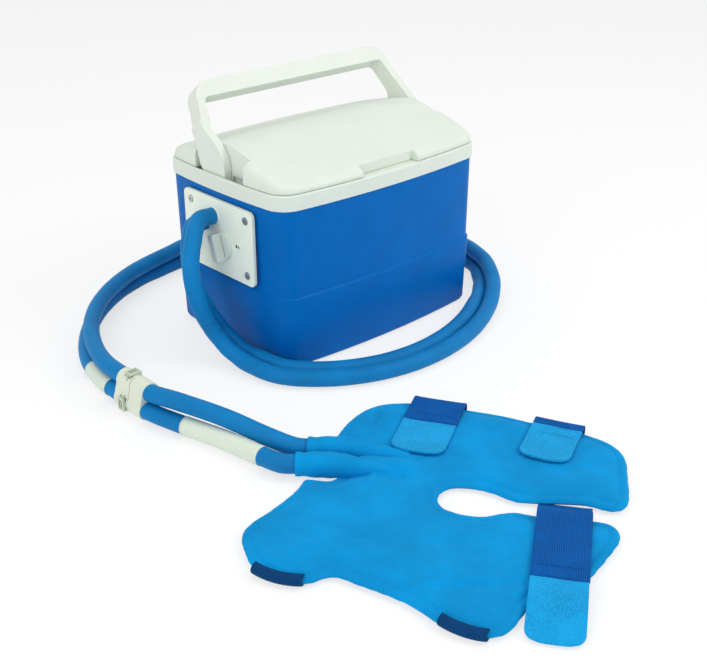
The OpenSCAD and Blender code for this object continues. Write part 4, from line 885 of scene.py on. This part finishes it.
# lays a strip of cloth over a strap's place along (distance, height) steps: trim is taken off the
# width, endRound is the radius of its far corners, and tuck draws its sides in round the pad
def layStrip(name, node, key, profile, thick, seed, trim=0.0, endRound=0.0, wave=0.0004,
             under=False, tuck=0.0):
    edge, turn, width = strapFacts[key][:3]
    width -= trim
    rows, columns = len(profile), stripSettings["columns"]
    bm = bmesh.new()
    bmesh.ops.create_grid(bm, x_segments=rows - 1, y_segments=columns - 1, size=0.5, calc_uvs=False)
    uvLayer = bm.loops.layers.uv.new("UVMap")
    travel = [0]
    for a, b in zip(profile, profile[1:]):
        travel.append(travel[-1] + math.dist(a, b))
    spot = {}
    for v in bm.verts:
        row = round((v.co.x + 0.5) * (rows - 1))
        column = round((v.co.y + 0.5) * (columns - 1)) / (columns - 1) - 0.5
        half, left = width / 2, travel[-1] - travel[row]
        if left < endRound:
            half += math.sqrt(endRound ** 2 - (endRound - left) ** 2) - endRound
        u, w = travel[row], column * 2 * half
        spot[v] = (u, w)
        along, height = profile[row]
        here = onStrap(edge, turn, along - tuck * (2 * column) ** 2, w)
        perMetre = stripSettings["wavesPerMetre"]
        ripple = noise.noise(Vector((u * perMetre, w * perMetre, seed))) * wave
        curl = (abs(column) * 2) ** 4 * stripSettings["curl"]
        v.co = Vector((here.x, here.y, height + max(ripple, stripSettings["sag"]) + curl))
    for face in bm.faces:
        for loop in face.loops:
            loop[uvLayer].uv = spot[loop.vert]
    bmesh.ops.recalc_face_normals(bm, faces=bm.faces)
    first = [face for face in bm.faces if min(loop[uvLayer].uv.x for loop in face.loops) < 0.0001]
    if (sum(face.normal.z for face in first) > 0) == under:
        bmesh.ops.reverse_faces(bm, faces=bm.faces)
    piece = finishPiece(bm, name, [node], sharp=60, recalc=False)
    wall = piece.modifiers.new("thickness", "SOLIDIFY")
    wall.thickness = thick
    wall.offset = 1
    rim = piece.modifiers.new("edges", "BEVEL")
    rim.width = thick * stripSettings["softEdge"]
    rim.segments = 2
    rim.limit_method = "ANGLE"
    rim.angle_limit = math.radians(50)
    applyModifiers(piece)
    return piece


# evenly spaced (distance, height) steps through a few points
def stepsThrough(points, step):
    line = smoothLine([Vector((a, 0, z)) for a, z in points], step)
    return [(p.x, p.z) for p in line]


f = strapFacts
top, out, tabThick = f["top"], f["out"], f["tabThick"]


# a strap that comes from under the pad round its edge and lies on its face
def wrapSteps(reach):
    low = f["thick"]
    return stepsThrough([
        (-f["wrapIn"], low + 0.0003), (-0.008, low + 0.0003), (out - 0.0015, low + 0.0006),
        (out, 0.0042), (out, 0.0070), (out - 0.0022, top), (-reach * 0.6, top), (-reach, top),
    ], 0.0018)


for side, seed, trim, bend, lift in (("Left", 1.0, 0.001, 0.036, 0.0006),
                                     ("Right", 3.0, 0.0004, 0.040, 0.0004)):
    key, node = "top" + side, "top_" + side.lower()
    reach, tabLong = f[key][3:]
    layStrip(key + "Strap", node + "_strap", key, wrapSteps(reach), f["thick"], seed, under=True)
    tabSteps = stepsThrough([
        (-reach - 0.0002, top), (-reach - 0.02, top), (-reach - bend, top + lift),
        (-reach - tabLong, top + lift + 0.001),
    ], 0.0022)
    layStrip(key + "Tab", node + "_tab", key, tabSteps, tabThick, seed + 1, trim, 0.012, 0.0007)
end = f["right"][3]
rightSteps = stepsThrough([
    (-0.0046, 0.0004), (0.001, 0.0005), (0.0042, 0.0016), (0.009, 0.0056), (0.0145, top + 0.0001),
    (0.03, top + 0.0001), (0.06, top), (end, top),
], 0.0024)
layStrip("rightStrap", "right_strap", "right", rightSteps, f["thick"], 5.0)
rightTabSteps = stepsThrough([
    (end + 0.0002, top), (end + 0.012, top), (end + 0.021, top - 0.0004), (end + 0.036, 0.0062),
    (end + 0.046, 0.0032), (end + 0.0555, 0.0012),
], 0.0022)
layStrip("rightTab", "right_tab", "right", rightTabSteps, tabThick, 6.0, 0.001, 0.010, 0.0005)
# the lips are elastic folded up round the pad's edge
lipSteps = stepsThrough([
    (-f["wrapIn"], 0.0022), (-0.008, 0.0022), (out - 0.002, 0.0024), (out - 0.0002, 0.0036),
    (out + 0.0002, 0.0052), (out - 0.0010, 0.0065), (-0.0028, 0.0068),
], 0.0011)
for name, node, key, seed, tuck in (("lowerLeftStrap", "lower_left_strap", "lowerLeft", 7.0, 0.0032),
                                    ("lowerStrap", "lower_strap", "lower", 8.0, 0.0024)):
    lip = layStrip(name, node, key, lipSteps, f["thick"] * 0.95, seed, under=True, tuck=tuck)
    # the lips take the darker copy of the elastic: painted shade
    lip.data.materials[0] = shadedLipElastic
print("straps laid")


# rows of thread stitches: short capsules that stand half out of the cloth
stitchSettings = {"long": 0.0026, "pitch": 0.0036, "thick": 0.00032, "fromEdge": 0.0022}


def sewRow(bm, start, end):
    run = end - start
    count = max(1, int(run.length / stitchSettings["pitch"]))
    turn = run.to_track_quat("Z", "Y").to_matrix().to_4x4()
    for n in range(count):
        centre = start + run * ((n + 0.5) / count)
        made = bmesh.ops.create_cone(bm, cap_ends=True, segments=6, radius1=stitchSettings["thick"],
                                     radius2=stitchSettings["thick"], depth=stitchSettings["long"])
        bmesh.ops.transform(bm, matrix=Matrix.Translation(centre) @ turn, verts=made["verts"])


# a rectangle of stitches on a strap, between two distances along it
def stitches(name, key, slot, low, high, top):
    edge, turn, width = strapFacts[key][:3]
    half = width / 2 - stitchSettings["fromEdge"]
    corners = [onStrap(edge, turn, a, w) + Vector((0, 0, top)) for a, w in
               ((low, -half), (high, -half), (high, half), (low, half))]
    bm = bmesh.new()
    for a, b in zip(corners, corners[1:] + corners[:1]):
        sewRow(bm, a, b)
    return finishPiece(bm, name, [], slot=slot, body="pad_set", sharp=60)


over = top + f["thick"] + 0.0001
stitches("topLeftStitches", "topLeft", "strap_navy", -0.0365, -0.026, over + 0.0001)
stitches("topRightStitches", "topRight", "tab_blue", -0.022, -0.0115, over)
stitches("rightStitches", "right", "strap_navy", 0.0825, 0.0945, over + 0.0001)


# the sleeves where the hoses run into the pad: round at the hose, sinking into the padding
bootSettings = {
    "rings": 34, "sides": 30,
    "cuff": 0.0096, "full": 0.0104, "fullBy": 0.02,   # radii at the hose and a little further on
    "body": 0.030, "tail": 0.052, "sinkFrom": 0.8,   # it starts to sink at this share of its body
    "high": 0.0108, "sinks": 0.0062, "thins": 0.0044, "low": 0.0004,
    "neck": 0.0006, "neckAt": 0.006, "neckHalf": 0.0025,
    "puff": 0.0002, "puffPace": 520,
}


def makeBoots():
    b = bootSettings
    total, sinkFrom = b["body"] + b["tail"], b["body"] * b["sinkFrom"]
    bm = bmesh.new()
    for route in (padSupplyRoute, padReturnRoute):
        x, y = route[-1][0] * mm, route[-1][1] * mm
        line, radii = [], []
        for n in range(b["rings"] + 1):
            d = total * n / b["rings"]
            into = eased((d - sinkFrom) / (total - sinkFrom))
            line.append(Vector((x, y, b["high"] - b["sinks"] * into)) + towardPad * d)
            full = b["cuff"] + (b["full"] - b["cuff"]) * min(1, d / b["fullBy"])
            neck = b["neck"] * math.exp(-((d - b["neckAt"]) / b["neckHalf"]) ** 2)
            puff = b["puff"] * math.sin(d * b["puffPace"]) * (1 - into)
            radii.append(full - neck + puff - b["thins"] * into)
        directions = lineDirections(line, towardPad, towardPad)
        tube = sweepTube(line, lambda i, a: radii[i], b["sides"], upward, directions)
        scratch = bpy.data.meshes.new("bootPart")
        tube.to_mesh(scratch)
        tube.free()
        bm.from_mesh(scratch)
        bpy.data.meshes.remove(scratch)
    for v in bm.verts:
        v.co.z = max(v.co.z, b["low"])
    return finishPiece(bm, "portBoots", ["port_boots"], sharp=60)


makeBoots()


labelSettings = {
    "off": 0.00032, "wrinkle": 0.00012, "wrinklesPerMetre": 120, "thick": 0.0003,
    "padFrom": -0.108, "padTo": -0.196, "hoseFrom": 0.029, "hoseTo": -0.016,    # places on Y
}


# a bare wrapped label a hair outside a hose, over the given stretch of its line
def wrapLabel(name, node, line, directions, guide, run, seed):
    part = line[run]
    around = guide[run] if isinstance(guide, list) else guide
    clear = hoseSettings["radius"] + labelSettings["off"]

    def radii(i, angle):
        spot = part[i] * labelSettings["wrinklesPerMetre"] + Vector((angle, 0, seed))
        return clear + noise.noise(spot) * labelSettings["wrinkle"]
    bm = sweepTube(part, radii, hoseSettings["sides"], around, directions[run], closeEnds=False)
    piece = finishPiece(bm, name, [node], sharp=60)
    wall = piece.modifiers.new("thickness", "SOLIDIFY")
    wall.thickness = labelSettings["thick"]
    wall.offset = -1
    applyModifiers(piece)
    return piece


onPad = [i for i, p in enumerate(padReturnLine) if labelSettings["padTo"] < p.y < labelSettings["padFrom"]]
wrapLabel("padHoseLabel", "pad_label", padReturnLine, lineDirections(padReturnLine, minusY, towardPad),
          upward, slice(onPad[0], onPad[-1] + 1), 3)
start, stop = (max(i for i, p in enumerate(returnLine) if p.y > labelSettings[key])
               for key in ("hoseFrom", "hoseTo"))
wrapLabel("hoseLabel", "hose_label", returnLine, lineDirections(returnLine, minusX, minusY),
          splits, slice(start, stop + 1), 8)


# plain blocks beside the knob as (y, z, width, height), and a dark bar at the foot of its grip that is
# painted shade of the grip's side
markSettings = {
    "face": -0.13308, "depth": 0.0004, "soft": 0.0001,
    "blocks": [(-0.0276, 0.1112, 0.0022, 0.0028), (-0.0309, 0.1110, 0.0013, 0.0021),
               (0.0121, 0.1034, 0.0013, 0.0024)],
    "grip": {"behindTip": 0.0090, "y": -0.0111, "low": 0.0970, "high": 0.1175, "wide": 0.0012,
             "tilt": -17},
}


# adds a small box, turned about X
def addBar(bm, place, size, tilt=0):
    made = bmesh.ops.create_cube(bm, size=1)
    bmesh.ops.scale(bm, vec=size, verts=made["verts"])
    turn = Matrix.Rotation(math.radians(tilt), 4, "X")
    bmesh.ops.transform(bm, matrix=Matrix.Translation(place) @ turn, verts=made["verts"])


# softens the edges of the boxes and makes one piece of them
def finishBars(bm, name, slot, body):
    bmesh.ops.bevel(bm, geom=list(bm.edges), offset=markSettings["soft"], segments=1,
                    affect="EDGES", profile=0.5, material=-1)
    return finishPiece(bm, name, [], slot=slot, body=body, sharp=30)


def makeMarks():
    m, bm = markSettings, bmesh.new()
    for y, z, wide, tall in m["blocks"]:
        addBar(bm, (m["face"], y, z), (m["depth"], wide, tall))
    finishBars(bm, "plateMarks", "black_plastic", "cooler")
    # a dark grey bar at the foot of the grip: painted shade of the grip's side
    grip, bm = m["grip"], bmesh.new()
    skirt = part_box("flow_knob")[0][0] + grip["behindTip"]
    addBar(bm, (skirt, grip["y"], (grip["low"] + grip["high"]) / 2),
           (m["depth"], grip["wide"], grip["high"] - grip["low"]), grip["tilt"])
    finishBars(bm, "knobGripShade", "grey_plastic", "knob")


makeMarks()


ribSettings = {"fromEnd": 0.0045, "apart": 0.0013, "long": 0.0082, "wide": 0.0007, "tall": 0.0004,
               "proud": 0.00003}


# two raised finger ribs on a latch button, black as painted shade of the slits between them: the first
# button faces up, and the second faces -X
def latchRibs(node, name, body):
    r = ribSettings
    low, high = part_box(node)
    middle = [(a + b) / 2 for a, b in zip(low, high)]
    bm = bmesh.new()
    for n in (-1, 1):
        y = high[1] - r["fromEnd"] + n * r["apart"]
        if body == "latch_a":
            addBar(bm, (middle[0], y, high[2] + r["proud"]), (r["long"], r["wide"], r["tall"]))
        else:
            addBar(bm, (low[0] - r["proud"], y, middle[2]), (r["tall"], r["wide"], r["long"]))
    return finishBars(bm, name, "black_plastic", body)


# raised ribs whose black colour is painted shade
latchRibs("latch_button_a", "latchRibShadeA", "latch_a")
latchRibs("latch_button_b", "latchRibShadeB", "latch_b")
print("pad set and marks made")

for hose, facts in zip(hoses, hoseFacts):
    line, end, farEnd = facts[2], facts[7], facts[8]


# floor, lamps and world
stageSettings = {
    "floorColour": (0.93, 0.94, 0.95), "floorGlow": 0.68, "floorSize": 6, "floorDrop": 0.0004,
    "worldStrength": 0.62,
    "lamps": [    # name, place, what it aims at, width, power
        ("keyLamp", (0.75, -1.35, 1.25), (-0.02, -0.1, 0.05), 0.9, 11.5),
        ("fillLamp", (-1.6, -0.6, 0.9), (-0.1, -0.1, 0.05), 1.2, 10),
        ("topLamp", (0.0, 0.2, 1.7), (-0.05, -0.1, 0), 1.4, 5.5),
    ],
}


# a matt floor that adds some glow of its own where it is seen
def makeFloor():
    bm = bmesh.new()
    bmesh.ops.create_grid(bm, x_segments=8, y_segments=8, size=stageSettings["floorSize"])
    mesh = bpy.data.meshes.new("floor")
    bm.to_mesh(mesh)
    bm.free()
    floor = bpy.data.objects.new("floor", mesh)
    bpy.context.scene.collection.objects.link(floor)
    floor.location = (0, 0, -stageSettings["floorDrop"])
    s = newSheet("paleFloor")
    s.surface(Base_Color=stageSettings["floorColour"], Roughness=0.9)
    glow = s.add("ShaderNodeEmission", {}, {"Color": (1, 1, 1), "Strength": 1})
    mixed = s.add("ShaderNodeMixShader", {}, {0: s.seen() * stageSettings["floorGlow"],
                                              1: Wire(s, s.shader.outputs[0]), 2: glow})
    s.feed(s.nodes["Material Output"].inputs["Surface"], mixed)
    mesh.materials.append(s.owner)


def softLamp(name, place, aim, width, power):
    data = bpy.data.lights.new(name, "AREA")
    data.shape = "RECTANGLE"
    data.size = data.size_y = width
    data.energy = power
    lamp = bpy.data.objects.new(name, data)
    lamp.location = place
    lamp.rotation_euler = (Vector(aim) - Vector(place)).to_track_quat("-Z", "Y").to_euler()
    bpy.context.scene.collection.objects.link(lamp)


# a world that is white where it is seen, and softer where it only lights
def makeWorld():
    world = bpy.data.worlds.new("studio")
    bpy.context.scene.world = world
    s = Sheet(world, "Background")
    s.surface(Color=(1, 1, 1), Strength=s.add("ShaderNodeMapRange", {}, {
        "Value": s.seen(), "To Min": stageSettings["worldStrength"]}))


makeFloor()
for lamp in stageSettings["lamps"]:
    softLamp(*lamp)
makeWorld()
bpy.context.scene.view_settings.view_transform = "Standard"
print("stage set")
